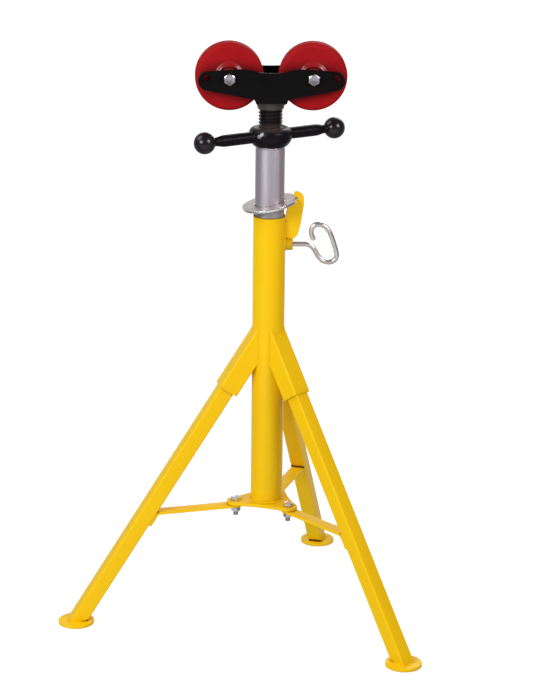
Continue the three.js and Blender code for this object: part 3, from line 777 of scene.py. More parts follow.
def threaded(r, depth, pitch, z0, z1, n=72, bands=None):
    """rod with a real helical groove between z0 and z1"""
    rmin = r - depth
    bands = bands or [(0.0, r - 0.12 * depth), (0.07, r), (0.30, r), (0.37, r - 0.12 * depth), (0.56, rmin + 0.1 * depth), (0.62, rmin), (0.84, rmin), (0.90, rmin + 0.1 * depth)]
    B = len(bands)
    start = z0 - pitch
    rows = (math.ceil((z1 - z0) / pitch) + 2) * B
    verts, faces = [], []
    for i in range(n):
        a = 2 * pi * i / n
        for j in range(rows + 1):
            f, rad_ = bands[j % B]
            z = start + pitch * (j // B + f + i / n)
            zc = min(max(z, z0), z1)
            verts.append((rad_ * cos(a), rad_ * sin(a), zc))

    def at(i, j):
        return i * (rows + 1) + j if i < n else j + B

    for i in range(n):
        for j in range(rows if i < n - 1 else rows - B):
            q = (at(i, j), at(i + 1, j), at(i + 1, j + 1), at(i, j + 1))
            zs = [verts[k][2] for k in q]
            if max(zs) <= z0 + 1e-6 or min(zs) >= z1 - 1e-6:
                continue
            faces.append(q)
    return verts, faces


# ------------------------------------------------------------------ post
o = piece("post", [lathe(rounded([(POST_RI, POST_BOTTOM), (POST_R, POST_BOTTOM), (POST_R, POST_TOP), (POST_RI + 0.6, POST_TOP), (POST_RI, POST_TOP - 1.0)], [0.3, 0.4, 0.5, 0.3, 0.3], 4), 160)],
          YELLOW_POST, None)
cut = piece("hole", [move(lathe([(0, 20), (PIN_HOLE_R, 20), (PIN_HOLE_R, 36), (0, 36)], 48, False), Matrix.Translation((0, 0, PIN_Z)) @ TO_X)], YELLOW_POST, None)
carve(o, cut)
dress(o, "base", ["outer_tube"])

o = piece("sliding_tube", [lathe(rounded([(TUBE_RI, TUBE_BOTTOM), (TUBE_R, TUBE_BOTTOM), (TUBE_R, TUBE_TOP), (TUBE_RI, TUBE_TOP)], [0.4, 0.6, 0.6, 0.5], 4), 160)],
          ZINC, None)
cuts = [move(lathe([(0, -32), (PIN_HOLE_R, -32), (PIN_HOLE_R, 32), (0, 32)], 48, False), Matrix.Translation((0, 0, PIN_Z + k * PIN_PITCH)) @ TO_X) for k in range(-7, 2)]
carve(o, piece("holes", cuts, ZINC, None))
dress(o, "inner_tube", ["inner_tube"])

piece("pin_bush", [move(lathe(rounded([(5.15, 28.0), (BOSS_R, 28.0), (BOSS_R, BOSS_END), (5.15, BOSS_END)], [0, 0, 1.4, 0.8], 5), 72), Matrix.Translation((0, 0, PIN_Z)) @ TO_X)],
      YELLOW_SHADED, "base", ["pin_boss"])
ring_path = [(math.sqrt(POST_R**2 - (BOSS_R * cos(a)) ** 2) + 0.2, BOSS_R * cos(a), PIN_Z + BOSS_R * sin(a)) for a in [2 * pi * i / 90 for i in range(90)]]
piece("pin_bush_weld", [bead(ring_path, 1.4, True, seed=3, depth=0.1)], WELD, "base")

# ------------------------------------------------------------------ ring bracket
ta = rad(RING_TILT)


def along(u, v):
    return (RING_X + u * cos(ta) - v * sin(ta), RING_Z + u * sin(ta) + v * cos(ta))


lo_v, hi_v = -RING_T / 2 - 0.9, RING_T / 2 + 1.2
outline = [
    (29.2, 740.0), (29.2, 771.0), (30.5, 773.0), (30.5, 784.0), (30.7, 788.0), (31.9, 794.0), along(34.4, lo_v), along(53.3, lo_v), along(53.3, hi_v - 0.2),
    along(47.4, hi_v), (44.0, 822.2), (45.2, 826.8), (49.0, 829.2), (54.6, 828.0), (59.8, 824.2), (63.2, 818.4), (63.9, 809.4), (63.3, 800.5),
    (61.2, 787.7), (57.9, 765.9), (53.6, 748.4), (50.2, 742.8), (47.0, 740.0), (44.0, 739.2), (40.0, 739.0),
]
soft = [0, 0, 0.6, 3, 6, 8, 3, 1.2, 1.0, 1.2, 3, 4, 6, 8, 8, 8, 20, 30, 40, 40, 8, 4, 2, 2, 2]
piece("ring_bracket", [stand(plate(rounded(outline, soft, 5), [], BRACKET_T, 1.3, 4))], YELLOW, "base", ["lock_bracket"])
side = math.sqrt(POST_R**2 - (BRACKET_T / 2) ** 2)
piece("ring_bracket_weld", [bead([(side + 0.3, s * (BRACKET_T / 2 + 0.3), z) for z in (743.5, 767.0)], 1.3, seed=5 + s) for s in (-1, 1)], WELD, "base")

# ------------------------------------------------------------------ grip ring
h = RING_T / 2
sec = rounded([(RING_RI, -h), (RING_R, -h), (RING_R, h), (RING_RI, h)], [0.8, 0.8, 0.7, 0.9], 6)
piece("grip_ring_plate", [lathe(sec, 192)], RING_STEEL, "grip_ring", ["grip_ring"],
      at=Matrix.Translation((RING_X, 0, RING_Z)) @ Matrix.Rotation(rad(RING_NOD), 4, "X") @ Matrix.Rotation(-ta, 4, "Y"), sharp=50)

# ------------------------------------------------------------------ locking pin
PIN_PATH = [
    (28.4, PIN_Z), (46, PIN_Z), (62, PIN_Z), (70.6, PIN_Z - 0.2), (77.2, 725.4), (82.2, 720.9), (86.3, 714.4), (90.2, 707.4), (95.4, 700.8),
    (103.4, 695.4), (113.1, 694.2), (121.4, 697.4), (125.9, 705.6), (124.8, 714.6), (120.9, 728.0), (116.4, 741.4), (110.4, 754.4),
    (102.6, 762.9), (92.5, 766.2), (84.0, 764.6), (78.6, 757.2), (78.0, 749.6), (80.2, 742.4), (83.4, 736.3),
]
path = resample([(x, 0, z) for x, z in crom(PIN_PATH, 14)], 1.0)
n_path = len(path)


def pin_section(i):
    end = min(i, n_path - 1 - i)
    return disc(PIN_R * (0.74, 0.93, 1.0)[min(end, 2)], 28)


piece("locking_pin_bar", [sweep(path, pin_section, normal=(0, 1, 0))], PIN_STEEL, "locking_pin", ["locking_pin"], sharp=40)

# ------------------------------------------------------------------ legs, sockets, feet, struts
lean = math.atan2(FOOT_LINE_R, APEX_Z)
SL, CL = sin(lean), cos(lean)


def on_leg(s, n):
    return (s * SL + n * CL, APEX_Z - s * CL + n * SL)


def square_loop(w, r, per=6, flat=6, shift=0.0):
    """(n, v) points round a rounded square, n across the leg in its own vertical plane"""
    pts = []
    h, c = w / 2, w / 2 - r
    corners = [(c, c, 0), (-c, c, 90), (-c, -c, 180), (c, -c, 270)]
    for k, (x, y, a0) in enumerate(corners):
        for i in range(per + 1):
            a = rad(a0 + 90 * i / per)
            pts.append((x + r * cos(a), y + r * sin(a)))
        nx, ny, na = corners[(k + 1) % 4]
        p, q = pts[-1], (nx + r * cos(rad(na)), ny + r * sin(rad(na)))
        for i in range(1, flat):
            pts.append((p[0] + (q[0] - p[0]) * i / flat, p[1] + (q[1] - p[1]) * i / flat))
    return [(n - shift, v) for n, v in pts]


def tube_between(outer, inner, start, end, lip=0.5, steps=8):
    """hollow bar along the leg: start(n, v) and end(n, v) give where it begins and stops"""
    m = len(outer)
    verts, faces = [], []

    def row(loop, s_of):
        for n, v in loop:
            x, z = on_leg(s_of(n, v), n)
            verts.append((x, v, z))

    grow = lambda loop, d: offset(loop, d)
    rows = []
    rows.append((outer, start))
    for k in range(1, steps):
        rows.append((outer, lambda n, v, k=k: start(n, v) + (end(n, v) - lip - start(n, v)) * k / steps))
    rows.append((outer, lambda n, v: end(n, v) - lip))
    rows.append((grow(outer, 0.3 * lip), lambda n, v: end(n, v) - 0.3 * lip))
    rows.append((grow(outer, lip), end))
    rows.append((grow(inner, -lip), end))
    rows.append((grow(inner, -0.3 * lip), lambda n, v: end(n, v) - 0.3 * lip))
    rows.append((inner, lambda n, v: end(n, v) - lip))
    for k in range(steps - 1, 0, -1):
        rows.append((inner, lambda n, v, k=k: start(n, v) + (end(n, v) - lip - start(n, v)) * k / steps))
    rows.append((inner, start))
    for loop, f in rows:
        row(loop, f)
    for j in range(len(rows)):
        a, b = j * m, ((j + 1) % len(rows)) * m
        for i in range(m):
            q = (i + 1) % m
            faces.append((a + i, a + q, b + q, b + i))
    return verts, faces


drop = math.tan(rad(STRUT_TILT))
top0 = PLATE_Z - GAP
face_n = -LEG_W / 2 - GAP


def at_top(r):
    return top0 - drop * (r - 47)


def reach_of(n, dz):
    s = 400.0
    for _ in range(60):
        r, z = on_leg(s, n)
        s += (z - (at_top(r) - dz)) / (CL - drop * SL)
    return s


for k, (sd, azimuth) in enumerate(AZIMUTHS.items()):
    at = turn_z(azimuth)

    def meets_post(n, v, r=POST_R):
        return (math.sqrt(max(r * r - v * v, 0)) - n * CL) / SL

    outer = square_loop(SOCKET_W, 3.6, 7, 10, SOCKET_IN)
    inner = square_loop(SOCKET_W - 2 * SOCKET_WALL, 1.2, 7, 10, SOCKET_IN)
    part = tube_between(outer, inner, lambda n, v: meets_post(n, v, POST_R - 0.6), lambda n, v: SOCKET_END, 0.6)
    piece(f"socket_{sd}", [part], YELLOW, "base", [f"leg_socket_{sd}"], at)
    joint = []
    for n, v in offset(square_loop(SOCKET_W, 3.6, 7, 10, SOCKET_IN), -0.1):
        s = meets_post(n, v, POST_R + 0.3)
        x, z = on_leg(s, n)
        joint.append((x, v, z))
    piece(f"socket_weld_{sd}", [bead(joint, 1.4, True, 3.0, seed=20 + k, depth=0.04)], WELD, "base", (), at)

    outer = square_loop(LEG_W, 3.0, 7, 3)
    inner = square_loop(LEG_W - 2 * LEG_WALL, 0.9, 7, 3)
    # the cut end leaves a wedge open at the side towards the post
    part = tube_between(outer, inner, lambda n, v: LEG_START, lambda n, v: (APEX_Z - FOOT_T + 0.1 - 5.0 * max(0.0, (-4.0 - n) / 10.7) + n * SL) / CL, 0.2, 24)
    piece(f"leg_{sd}", [part], YELLOW, "base", [f"leg_tube_{sd}"], at)

    f = FOOT_D / 2 - 0.16
    sec = rounded([(0, 0), (f, 0), (f, FOOT_T), (0, FOOT_T)], [0, 0.9, 1.3, 0], 6)
    piece(f"foot_{sd}", [move(lathe(sec, 128, False), Matrix.Translation((FOOT_R, 0, 0)))], YELLOW, "base", [f"foot_disc_{sd}"], at)
    joint = []
    # weld round the three outer sides only, from one edge of the wedge to the other
    around = [(n, v) for n, v in offset(square_loop(LEG_W, 3.0, 7, 8), -0.3) if n > -5.0]
    split = next((i for i in range(len(around)) if abs(around[i][0] - around[i - 1][0]) + abs(around[i][1] - around[i - 1][1]) > 15), 0)
    for n, v in around[split:] + around[:split]:
        s = (APEX_Z - FOOT_T + n * SL) / CL
        x, z = on_leg(s, n)
        joint.append((x, v, FOOT_T + 0.2))
    piece(f"foot_weld_{sd}", [bead(joint, 1.5, False, 2.6, seed=30 + k, depth=0.07)], WELD, "base", (), at)

    # strut: flat bar, round inner end, bent down along the leg
    mid_n = face_n - STRUT_T / 2
    s_bend = reach_of(mid_n, STRUT_T / 2)
    bend = on_leg(s_bend, mid_n)
    end = on_leg(s_bend + TAB_LENGTH - 2.0, mid_n)
    r_in = BOLT_R - STRUT_W / 2
    line = rounded([(r_in, at_top(r_in) - STRUT_T / 2), bend, end], [0, 8.0, 0], 12, False)
    path = resample([(x, 0, z) for x, z in line], 0.8)
    length = sum((Vector(a) - Vector(b)).length for a, b in zip(path, path[1:]))
    m_path = len(path)

    def bar(i):
        d = length * i / (m_path - 1)
        half = STRUT_W / 2
        if d < half:
            half = math.sqrt(max(half * half - (half - d) ** 2, 0.05))
        q = min(1.0, 1.0 - 0.5 * math.exp(-min(d, length - d) / 0.4))
        t = STRUT_T / 2 * q
        rr = min(0.9, t * 0.9, half * 0.9)
        return rounded([(half, t), (half, -t), (-half, -t), (-half, t)], rr, 3)

    piece(f"strut_bar_{sd}", [sweep(path, bar, normal=(0, 1, 0))], YELLOW, "base", [f"strut_{sd}"], at)
    tab = [on_leg(s_bend + d, face_n + 0.4) for d in (9.0, TAB_LENGTH - 2.5)]
    beads = [bead([(x, w * (STRUT_W / 2 - 0.1), z) for x, z in tab], 1.5, seed=40 + k + w) for w in (-1, 1)]
    x, z = on_leg(s_bend + TAB_LENGTH - 1.6, face_n + 0.2)
    beads.append(bead([(x, -STRUT_W / 2 + 1.5, z), (x, STRUT_W / 2 - 1.5, z)], 1.7, seed=50 + k))
    piece(f"strut_weld_{sd}", beads, WELD, "base", (), at)

    # painted shade: a dark brown bead along the bottom of the wedge under the leg's cut end
    n = -LEG_W / 2 + 1.2
    x, z = on_leg((APEX_Z + n * SL - FOOT_T - 1.1) / CL, n)
    piece(f"foot_crevice_{sd}", [bead([(x, -LEG_W / 2 + 2.0, z), (x, LEG_W / 2 - 2.0, z)], 1.7, seed=90 + k)], CREVICE_DARK, "base", (), at)

    # a dark brown bead along the crevice where the strut meets the leg
    x, z = on_leg(reach_of(face_n, -1.0), face_n + 0.1)
    piece(f"strut_crevice_{sd}", [bead([(x, -14.4, z), (x, 14.4, z)], 2.3, seed=80 + k)], CREVICE_DARK, "base", (), at)

    # bolt, washer, nut
    to_bolt = Matrix.Translation((BOLT_R, 0, 0))
    head_z = PLATE_Z + PLATE_T + GAP
    under = PLATE_Z - GAP - STRUT_T - 0.9 - GAP
    turned = (12.0, -8.0, 3.0)[k]
    parts = [move(hexagonal(BOLT_AF, head_z, head_z + BOLT_HEAD, turn=30 + turned, cham=0.93, dish=0.3), to_bolt)]
    tip = under - NUT_H - BOLT_END
    sec = [(0, tip + 20), (4.99, tip + 20), (4.99, head_z + 0.5), (0, head_z + 0.5)]
    parts.append(move(lathe(sec, 48, False), to_bolt))
    parts.append(move(threaded(4.95, 0.85, 1.5, tip + 0.9, tip + 21, 36, [(0.0, 4.95), (0.14, 4.95), (0.5, 4.1), (0.64, 4.1)]), to_bolt))
    parts.append(move(lathe(rounded([(0, tip), (4.3, tip), (4.3, tip + 2.0), (0, tip + 2.0)], [0, 0.9, 0, 0], 4), 48, False), to_bolt))
    piece(f"strut_screw_{sd}", parts, BOLT_STEEL, "base", [f"strut_bolt_{sd}"], at, sharp=28)
    sec = rounded([(5.4, under - 1.6), (9.5, under - 1.6), (9.5, under), (5.4, under)], [0.3, 0.5, 0.5, 0.3], 3)
    piece(f"strut_plain_washer_{sd}", [move(lathe(sec, 72), to_bolt)], BOLT_STEEL, "base", [f"strut_washer_{sd}"], at)
    z1 = under - 1.6 - GAP
    z0 = z1 - NUT_H + 2
    piece(f"strut_hex_nut_{sd}", [move(hexagonal(16.0, z0, z1, True, True, 4.98, turn=30 + turned * 2), to_bolt)], BOLT_STEEL, "base", [f"strut_nut_{sd}"], at, sharp=28)

# ------------------------------------------------------------------ base plate
pts = []
c, hh = cos(rad(60)) * BOLT_R, sin(rad(60)) * BOLT_R
k1 = WAIST_R - c
RR = (EAR_R * EAR_R - k1 * k1 - hh * hh) / (2 * (k1 - EAR_R))
DD = RR + WAIST_R
touch = math.atan2(hh, DD - c)
for az in (AZIMUTHS["back"], AZIMUTHS["left"], AZIMUTHS["right"]):
    ex, ey = BOLT_R * cos(rad(az)), BOLT_R * sin(rad(az))
    for i in range(-14, 15):
        a = rad(az) + (i / 14) * (pi / 3 + touch)
        pts.append((ex + EAR_R * cos(a), ey + EAR_R * sin(a)))
    mid = rad(az + 60)
    mx, my = DD * cos(mid), DD * sin(mid)
    for i in range(1, 18):
        b_ = mid + pi + touch - (2 * touch * i) / 18
        pts.append((mx + RR * cos(b_), my + RR * sin(b_)))
holes = [circle(0, 0, 19, 72)] + [circle(BOLT_R * cos(rad(az)), BOLT_R * sin(rad(az)), 5.4, 36) for az in AZIMUTHS.values()]
part = plate(pts, holes, PLATE_T, 0.9, 4)
piece("foot_plate", [move(part, Matrix.Translation((0, 0, PLATE_Z + PLATE_T / 2)))], YELLOW, "base", ["base_plate"])
piece("post_weld", [bead([((POST_R + 0.3) * cos(a), (POST_R + 0.3) * sin(a), PLATE_Z + PLATE_T + 0.4) for a in [2 * pi * i / 120 for i in range(120)]], 2.0, True, 3.0, seed=60)],
      WELD, "base")

# ------------------------------------------------------------------ thrust washer, handle nut
piece("thrust_ring", [lathe(rounded([(23.7, TUBE_TOP + GAP), (27.6, TUBE_TOP + GAP), (27.6, NUT_BOTTOM - GAP), (23.7, NUT_BOTTOM - GAP)], 0.5, 4), 128)],
      BOLT_STEEL, "inner_tube", ["thrust_washer"])

bore = SCREW_R + 0.35
collar = rounded([(0, NUT_BOTTOM - 0.0), (29.6, NUT_BOTTOM), (33.6, 917.6), (38.4, 924.6), (NUT_R, 930.0), (NUT_R, 937.4), (39.0, 942.4), (36.4, 946.4), (33.0, 948.8), (29.6, NUT_TOP), (25.6, NUT_TOP - 1.4), (0, NUT_TOP - 1.4)],
                 [0, 2, 5, 6, 5, 5, 4, 4, 3, 2, 1, 0], 5)
arm = crom([(10.8, 20.0), (10.8, 36), (10.9, 50), (11.0, 66), (11.0, 82), (11.0, 92), (10.8, 99.5), (9.8, 106), (8.6, 111), (8.2, 116), (8.6, 121), (9.6, 128)], 6)
arm = [(0, 20.0)] + arm + [(0, 128)]
body_parts = [lathe(collar, 160, False)]
o = piece("handle_casting", body_parts, CAST_BLACK, None)
for s in (1, -1):
    m = Matrix.Translation((0, 0, HANDLE_Z)) @ Matrix.Rotation(rad(s * 90 - ARM_SLOPE), 4, "Y")
    other = piece("arm", [move(lathe(arm, 64, False), m)], CAST_BLACK, None)
    carve(o, other, "UNION")
md = o.modifiers.new("cast", "REMESH")
md.mode = "VOXEL"
md.voxel_size = 0.0008
md = o.modifiers.new("soft", "SMOOTH")
md.factor = 0.5
md.iterations = 10
settle(o, 60)
cut = piece("bore", [lathe([(0, 880), (bore, 880), (bore, NUT_TOP - 3.4), (bore + 2.4, NUT_TOP - 1.0), (bore + 2.4, 960), (0, 960)], 128, False)], CAST_BLACK, None)
carve(o, cut, sharp=40)
o.data.transform(Matrix.Translation((OX, OY, 0)) @ turn_z(HANDLE_AZIMUTH) @ Matrix.Translation((-OX, -OY, 0)))
dress(o, "handle_nut", ["handle_nut"])
piece("handle_spigot", [lathe(rounded([(bore, NUT_BOTTOM - 14), (23.2, NUT_BOTTOM - 14), (23.2, NUT_BOTTOM + 1), (bore, NUT_BOTTOM + 1)], [0.2, 0.2, 0, 0], 3), 96)],
      CAST_BLACK, "handle_nut")
for s, nm in ((1, "right"), (-1, "left")):
    a0 = -64
    sec = [(0, BALL_AT + BALL_R * sin(rad(a0)) + 0.5), (7.4, BALL_AT + BALL_R * sin(rad(a0)) + 0.3)]
    sec += [(BALL_R * cos(rad(a)), BALL_AT + BALL_R * sin(rad(a))) for a in np.linspace(a0, 89.0, 60)]
    sec += [(0, BALL_AT + BALL_R)]
    m = Matrix.Translation((0, 0, HANDLE_Z)) @ Matrix.Rotation(rad(s * 90 - ARM_SLOPE), 4, "Y")
    piece(f"handle_ball_{nm}", [move(lathe(sec, 96, False), m)], BALL_BLACK, "handle_nut", (), turn_z(HANDLE_AZIMUTH), 50)

# ------------------------------------------------------------------ screw
rmin = SCREW_R - SCREW_DEPTH
parts = [threaded(SCREW_R, SCREW_DEPTH, SCREW_PITCH, THREAD_BOTTOM, THREAD_TOP, 112)]
parts.append(lathe(rounded([(0, SCREW_BOTTOM), (rmin - 0.3, SCREW_BOTTOM), (rmin - 0.3, THREAD_BOTTOM + 6), (0, THREAD_BOTTOM + 6)], [0, 1.0, 0, 0], 4), 96, False))
parts.append(lathe([(0, THREAD_TOP - 2.5), (SCREW_R - 0.4, THREAD_TOP - 2.5), (SCREW_R - 0.4, SCREW_TOP), (0, SCREW_TOP)], 96, False))
piece("screw", parts, SCREW_BLACK, "screw_head", ["jack_screw"], sharp=30)
r_ = rmin
piece("screw_end_collar", [lathe(rounded([(r_, SCREW_BOTTOM), (22.9, SCREW_BOTTOM), (22.9, SCREW_BOTTOM + 8), (r_, SCREW_BOTTOM + 8)], 0.6, 4), 96)],
      BOLT_STEEL, "screw_head", ["screw_stop"])

# ------------------------------------------------------------------ roller head
sec = rounded([(SCREW_R + GAP, 984), (23.8, 984), (28.2, HEAD_BASE_Z - GAP), (SCREW_R + GAP, HEAD_BASE_Z - GAP)], [0.3, 0.5, 0.8, 0.3], 5)
piece("head_neck", [lathe(sec, 128)], NECK_BLACK_LIT, "screw_head", ["head_socket"])
inner_y = HEAD_OUT - SIDE_T - GAP
out = rounded([(-28.4, -inner_y), (28.4, -inner_y), (28.4, inner_y), (-28.4, inner_y)], 1.5, 4)
part = plate(out, [circle(0, 0, SCREW_R + GAP, 96)], HEAD_BASE_T, 0.9, 3)
piece("head_floor", [move(part, Matrix.Translation((0, 0, HEAD_BASE_Z + HEAD_BASE_T / 2)))], HEAD_BLACK, "screw_head", ["head_base"], HEAD)
out = rounded([(-WEB_T / 2, HEAD_BASE_Z + HEAD_BASE_T + GAP), (WEB_T / 2, HEAD_BASE_Z + HEAD_BASE_T + GAP), (WEB_T / 2, WEB_TOP), (-WEB_T / 2, WEB_TOP)], [0.5, 0.5, 2.2, 2.2], 5)
part = plate(out, [], 2 * inner_y, 0.3, 2)
piece("head_rib", [stand(part)], HEAD_BLACK, "screw_head", ["head_web"], HEAD)

for nm, y, mid in (("front", -HEAD_OUT, 1055.0), ("rear", HEAD_OUT - SIDE_T, 1056.6)):
    half = [(0, mid), (10, mid + 0.1), (20, 1056.0 + (mid - 1055) * 0.7), (31, 1058.5), (40, 1060.4), (51, 1061.5), (66, 1061.3), (84, 1060.3), (100, 1058.9)]
    for i in range(0, 15):
        a = rad(88 - 12 * i)
        half.append((END_X + END_R * cos(a), END_Z + END_R * sin(a)))
    half += [(72, 1014.4), (36, 1007.6), (31.4, 1005.9), (29.2, 1002.6), (28.4, 998.8)]
    right = crom(half[:9], 6) + half[9:]
    full = right + [(-x, z) for x, z in right[1:][::-1]]
    holes = [circle(s * AXLE_X, AXLE_Z, AXLE_R + 0.3, 48) for s in (-1, 1)] + [circle(s * END_HOLE_X, END_HOLE_Z, END_HOLE_R, 48) for s in (-1, 1)]
    part = plate(full, holes, SIDE_T, 1.0, 4)
    piece(f"cheek_{nm}", [stand(part, y + SIDE_T / 2)], HEAD_BLACK, "screw_head", [f"side_plate_{nm}"], HEAD, sharp=36)
beads = []
for s in (-1, 1):
    beads.append(bead([(-27.5, s * (inner_y + 0.1), HEAD_BASE_Z - 0.2), (27.5, s * (inner_y + 0.1), HEAD_BASE_Z - 0.2)], 1.9, seed=70 + s))
piece("head_weld", beads, NECK_BLACK_LIT, "screw_head", (), HEAD)

for nm, s in (("left", -1), ("right", 1)):
    at = HEAD @ Matrix.Translation((s * AXLE_X, 0, AXLE_Z))
    turned = (4.0, -5.0)[s > 0]
    to_front = Matrix.Rotation(rad(90), 4, "X")      # Z to -Y
    top = HEAD_OUT + GAP + AXLE_HEAD
    parts = [move(hexagonal(AXLE_AF, HEAD_OUT + GAP, top, turn=90 + turned, cham=0.90, dish=0.5), to_front)]
    # three short raised strokes on the head
    for i in range(3):
        stroke = plate(rounded([(2.0, -0.5), (5.6, -0.5), (5.6, 0.5), (2.0, 0.5)], 0.45, 4), [], 1.2, 0.2, 2)
        parts.append(move(stroke, to_front @ Matrix.Translation((0, 0, top - 0.85)) @ turn_z(30 + turned + 120 * i)))
    sec = [(0, -HEAD_OUT - 4), (AXLE_R, -HEAD_OUT - 4), (AXLE_R, HEAD_OUT + 1), (0, HEAD_OUT + 1)]
    parts.append(move(lathe(sec, 64, False), to_front))
    t1, t0 = -(HEAD_OUT + 4), -(HEAD_OUT + 14.2)
    parts.append(move(threaded(6.3, 1.0, 1.95, t0, t1, 40, [(0.0, 6.3), (0.14, 6.3), (0.5, 5.3), (0.64, 5.3)]), to_front))
    parts.append(move(lathe(rounded([(0, t0 - 0.8), (5.6, t0 - 0.8), (5.6, t0 + 1.5), (0, t0 + 1.5)], [0, 0.7, 0, 0], 4), 48, False), to_front))
    piece(f"axle_screw_{nm}", parts, HEAD_STEEL, "screw_head", [f"axle_bolt_{nm}"], at, sharp=28)
    part = hexagonal(AXLE_AF, HEAD_OUT + GAP, HEAD_OUT + GAP + 11, True, False, AXLE_R + 0.25, turn=90 - turned)
    piece(f"axle_hex_nut_{nm}", [move(part, TO_Y)], BOLT_STEEL, "screw_head", [f"axle_nut_{nm}"], at, sharp=28)

    # roller: flat tread, rounded shoulders, raised ring and hub on each face
    W2, R, e = WHEEL_W / 2, WHEEL_R, WHEEL_EDGE
    up = [(BUSH_R + GAP, HUB_H), (15.6, HUB_H), (16.5, 23.6), (17.0, 22.6), (17.5, 22.1), (18.3, 22.5), (19.4, 22.9), (20.6, 22.9), (21.8, 22.6), (23.0, 22.0), (24.2, 21.2),
          (25.4, 20.3), (26.4, 19.6), (27.6, 19.15), (29.4, W2)]
    up += [(R - e + e * sin(rad(a)), W2 - e + e * cos(rad(a))) for a in range(0, 91, 6)]
    up += [(R, 3.0)]
    sec = [(r, -z) for r, z in up] + up[::-1]
    piece(f"wheel_{nm}", [move(lathe(sec, 192), to_front)], RED, f"roller_{nm}", [f"roller_{nm}"], at, sharp=55)
    ri = AXLE_R + 0.2
    piece(f"bush_{nm}", [move(lathe(rounded([(ri, -HUB_H), (BUSH_R, -HUB_H), (BUSH_R, HUB_H), (ri, HUB_H)], 0.4, 3), 72), TO_Y)], BRONZE, f"roller_{nm}", [f"roller_bush_{nm}"], at)
    for end, q in (("front", -1), ("rear", 1)):
        a, b = sorted((q * (HUB_H + GAP), q * inner_y))
        piece(f"side_washer_{nm}_{end}", [move(lathe(rounded([(ri + 0.2, a), (12, a), (12, b), (ri + 0.2, b)], 0.6, 4), 72), TO_Y)], BOLT_STEEL, "screw_head", [f"spacer_{nm}_{end}"], at)

# every frame node that still shows takes a finish as well
slots = {s["node"]: s["material_slot"] for s in frame["record"]["subparts"]}
for n, node in frame["nodes"].items():
    node.data.materials.clear()
    node.data.materials.append(CARRIED[slots[n]])

# ------------------------------------------------------------------ stage
floor = bpy.data.objects.new("floor", bpy.data.meshes.new("floor"))
floor.data.from_pydata([(-30, -30, -0.0002), (30, -30, -0.0002), (30, 60, -0.0002), (-30, 60, -0.0002)], [], [(0, 1, 2, 3)])
bpy.context.scene.collection.objects.link(floor)
floor.data.materials.append(floor_white())
floor.visible_glossy = False
floor.visible_diffuse = False


def area(name, place, target, size, power, colour=(1, 1, 1)):
    d = bpy.data.lights.new(name, "AREA")
    d.shape = "RECTANGLE"
    d.size, d.size_y = size
    d.energy = power
    d.color = colour
    o = bpy.data.objects.new(name, d)
    o.location = place
    o.rotation_euler = (Vector(target) - Vector(place)).to_track_quat("-Z", "Y").to_euler()
    bpy.context.scene.collection.objects.link(o)
    return o


def aim(azimuth, elevation, distance, height=0.62):
    """a place for a light: azimuth 0 is in front, positive to the right"""
    a, e = rad(azimuth), rad(elevation)
    return (distance * sin(a) * cos(e), -distance * cos(a) * cos(e), height + distance * sin(e))


area("key_left", aim(-38, 28, 3.2, 0.54), (0, 0, 0.54), (1.2, 1.2), 45)
area("key_right", aim(48, 33, 3.2), (0, 0, 0.62), (1.2, 1.2), 42, (1.0, 0.87, 0.89))
area("side_left", aim(-88, 50, 2.8), (0, 0, 0.5), (1.2, 1.6), 19)
area("back", aim(160, 32, 3.2), (0, 0, 0.7), (1.6, 1.2), 20)
top = area("top", (0, 0.1, 3.2), (0, 0, 0.5), (2.2, 2.2), 8, (0.90, 1.0, 0.94))
top.visible_camera = False
top.visible_glossy = False
low = area("front_low", (-0.7, -1.4, 0.12), (0, 0, 0.22), (1.2, 0.5), 4.5)
low.visible_camera = False
low.visible_glossy = False
# light that the pale floor gives back to the low parts
bounce = area("bounce", (0, 0, 0.0001), (0, 0.0001, 1), (1.6, 1.6), 1.4)
bounce.visible_camera = False
bounce.visible_glossy = False

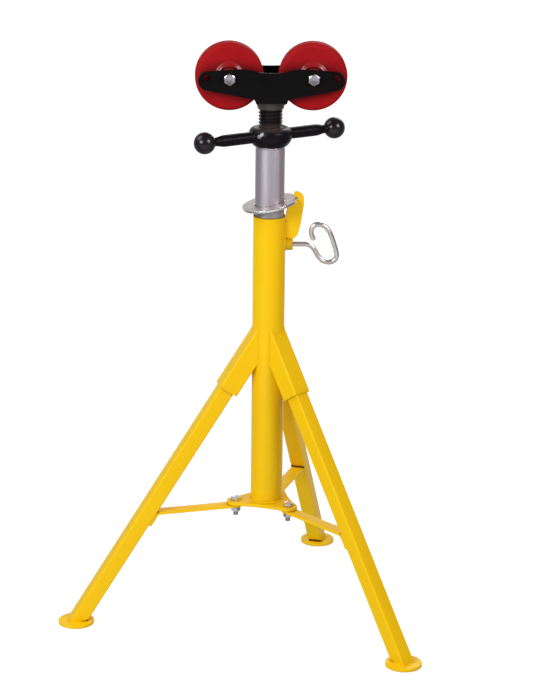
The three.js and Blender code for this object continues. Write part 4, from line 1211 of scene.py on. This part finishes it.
# the room: dim round the sides, a little light low in front and high behind
world = bpy.data.worlds.new("studio")
world.use_nodes = True
wt = world.node_tree
bg = wt.nodes["Background"]
sep = add(wt, "ShaderNodeSeparateXYZ", Vector=add(wt, "ShaderNodeTexCoord").outputs["Generated"])
dx, dy, dz = sep.outputs
front = remap(wt, dy, -0.3, -1.0, 0.0, 1.0)
low = remap(wt, dz, 0.05, -0.30, 0.0, 1.0)
behind = remap(wt, dy, 0.42, 0.88, 0.0, 1.0)
rise = remap(wt, dz, -0.9, -0.5, 0.0, 1.0)
fade = remap(wt, dz, 0.45, 0.65, 1.0, 0.0)
level = mathn(wt, "ADD", mathn(wt, "MULTIPLY", mathn(wt, "MULTIPLY", front, low), 0.60), mathn(wt, "MULTIPLY", low, 0.13))
band = mathn(wt, "MULTIPLY", mathn(wt, "MULTIPLY", behind, rise), fade)
level = mathn(wt, "ADD", level, mathn(wt, "MULTIPLY", band, 0.55))
level = mathn(wt, "ADD", level, 0.15)
bg.inputs["Color"].default_value = (0.98, 0.97, 1.0, 1)
wt.links.new(level, bg.inputs["Strength"])
bpy.context.scene.world = world
bpy.context.scene.view_settings.view_transform = "Standard"

# ------------------------------------------------------------------ camera at the photograph's angle
f_px, dist, height, pitch, pan, roll = 2445.50471, 4411.55881, 1857.61299, 0.290642899, -6.70800991e-4, 1.11780700e-2
cp, sp, ca, sa = cos(pitch), sin(pitch), cos(pan), sin(pan)
fwd = Vector((sa * cp, ca * cp, -sp))
right_v = Vector((ca, -sa, 0))
up_v = right_v.cross(fwd)
cr, sr = cos(roll), sin(roll)
xr = right_v * cr + up_v * sr
yr = up_v * cr - right_v * sr
cam = bpy.data.cameras.new("camera")
cam.sensor_width = 36.0
cam.sensor_fit = "AUTO"
cam.lens = f_px * 36.0 / 683.0
cam.clip_start, cam.clip_end = 0.1, 100.0
co = bpy.data.objects.new("camera", cam)
m = Matrix(((xr.x, yr.x, -fwd.x, OX), (xr.y, yr.y, -fwd.y, OY - dist / 1000), (xr.z, yr.z, -fwd.z, height / 1000), (0, 0, 0, 1)))
co.matrix_world = m
bpy.context.scene.collection.objects.link(co)
bpy.context.scene.camera = co
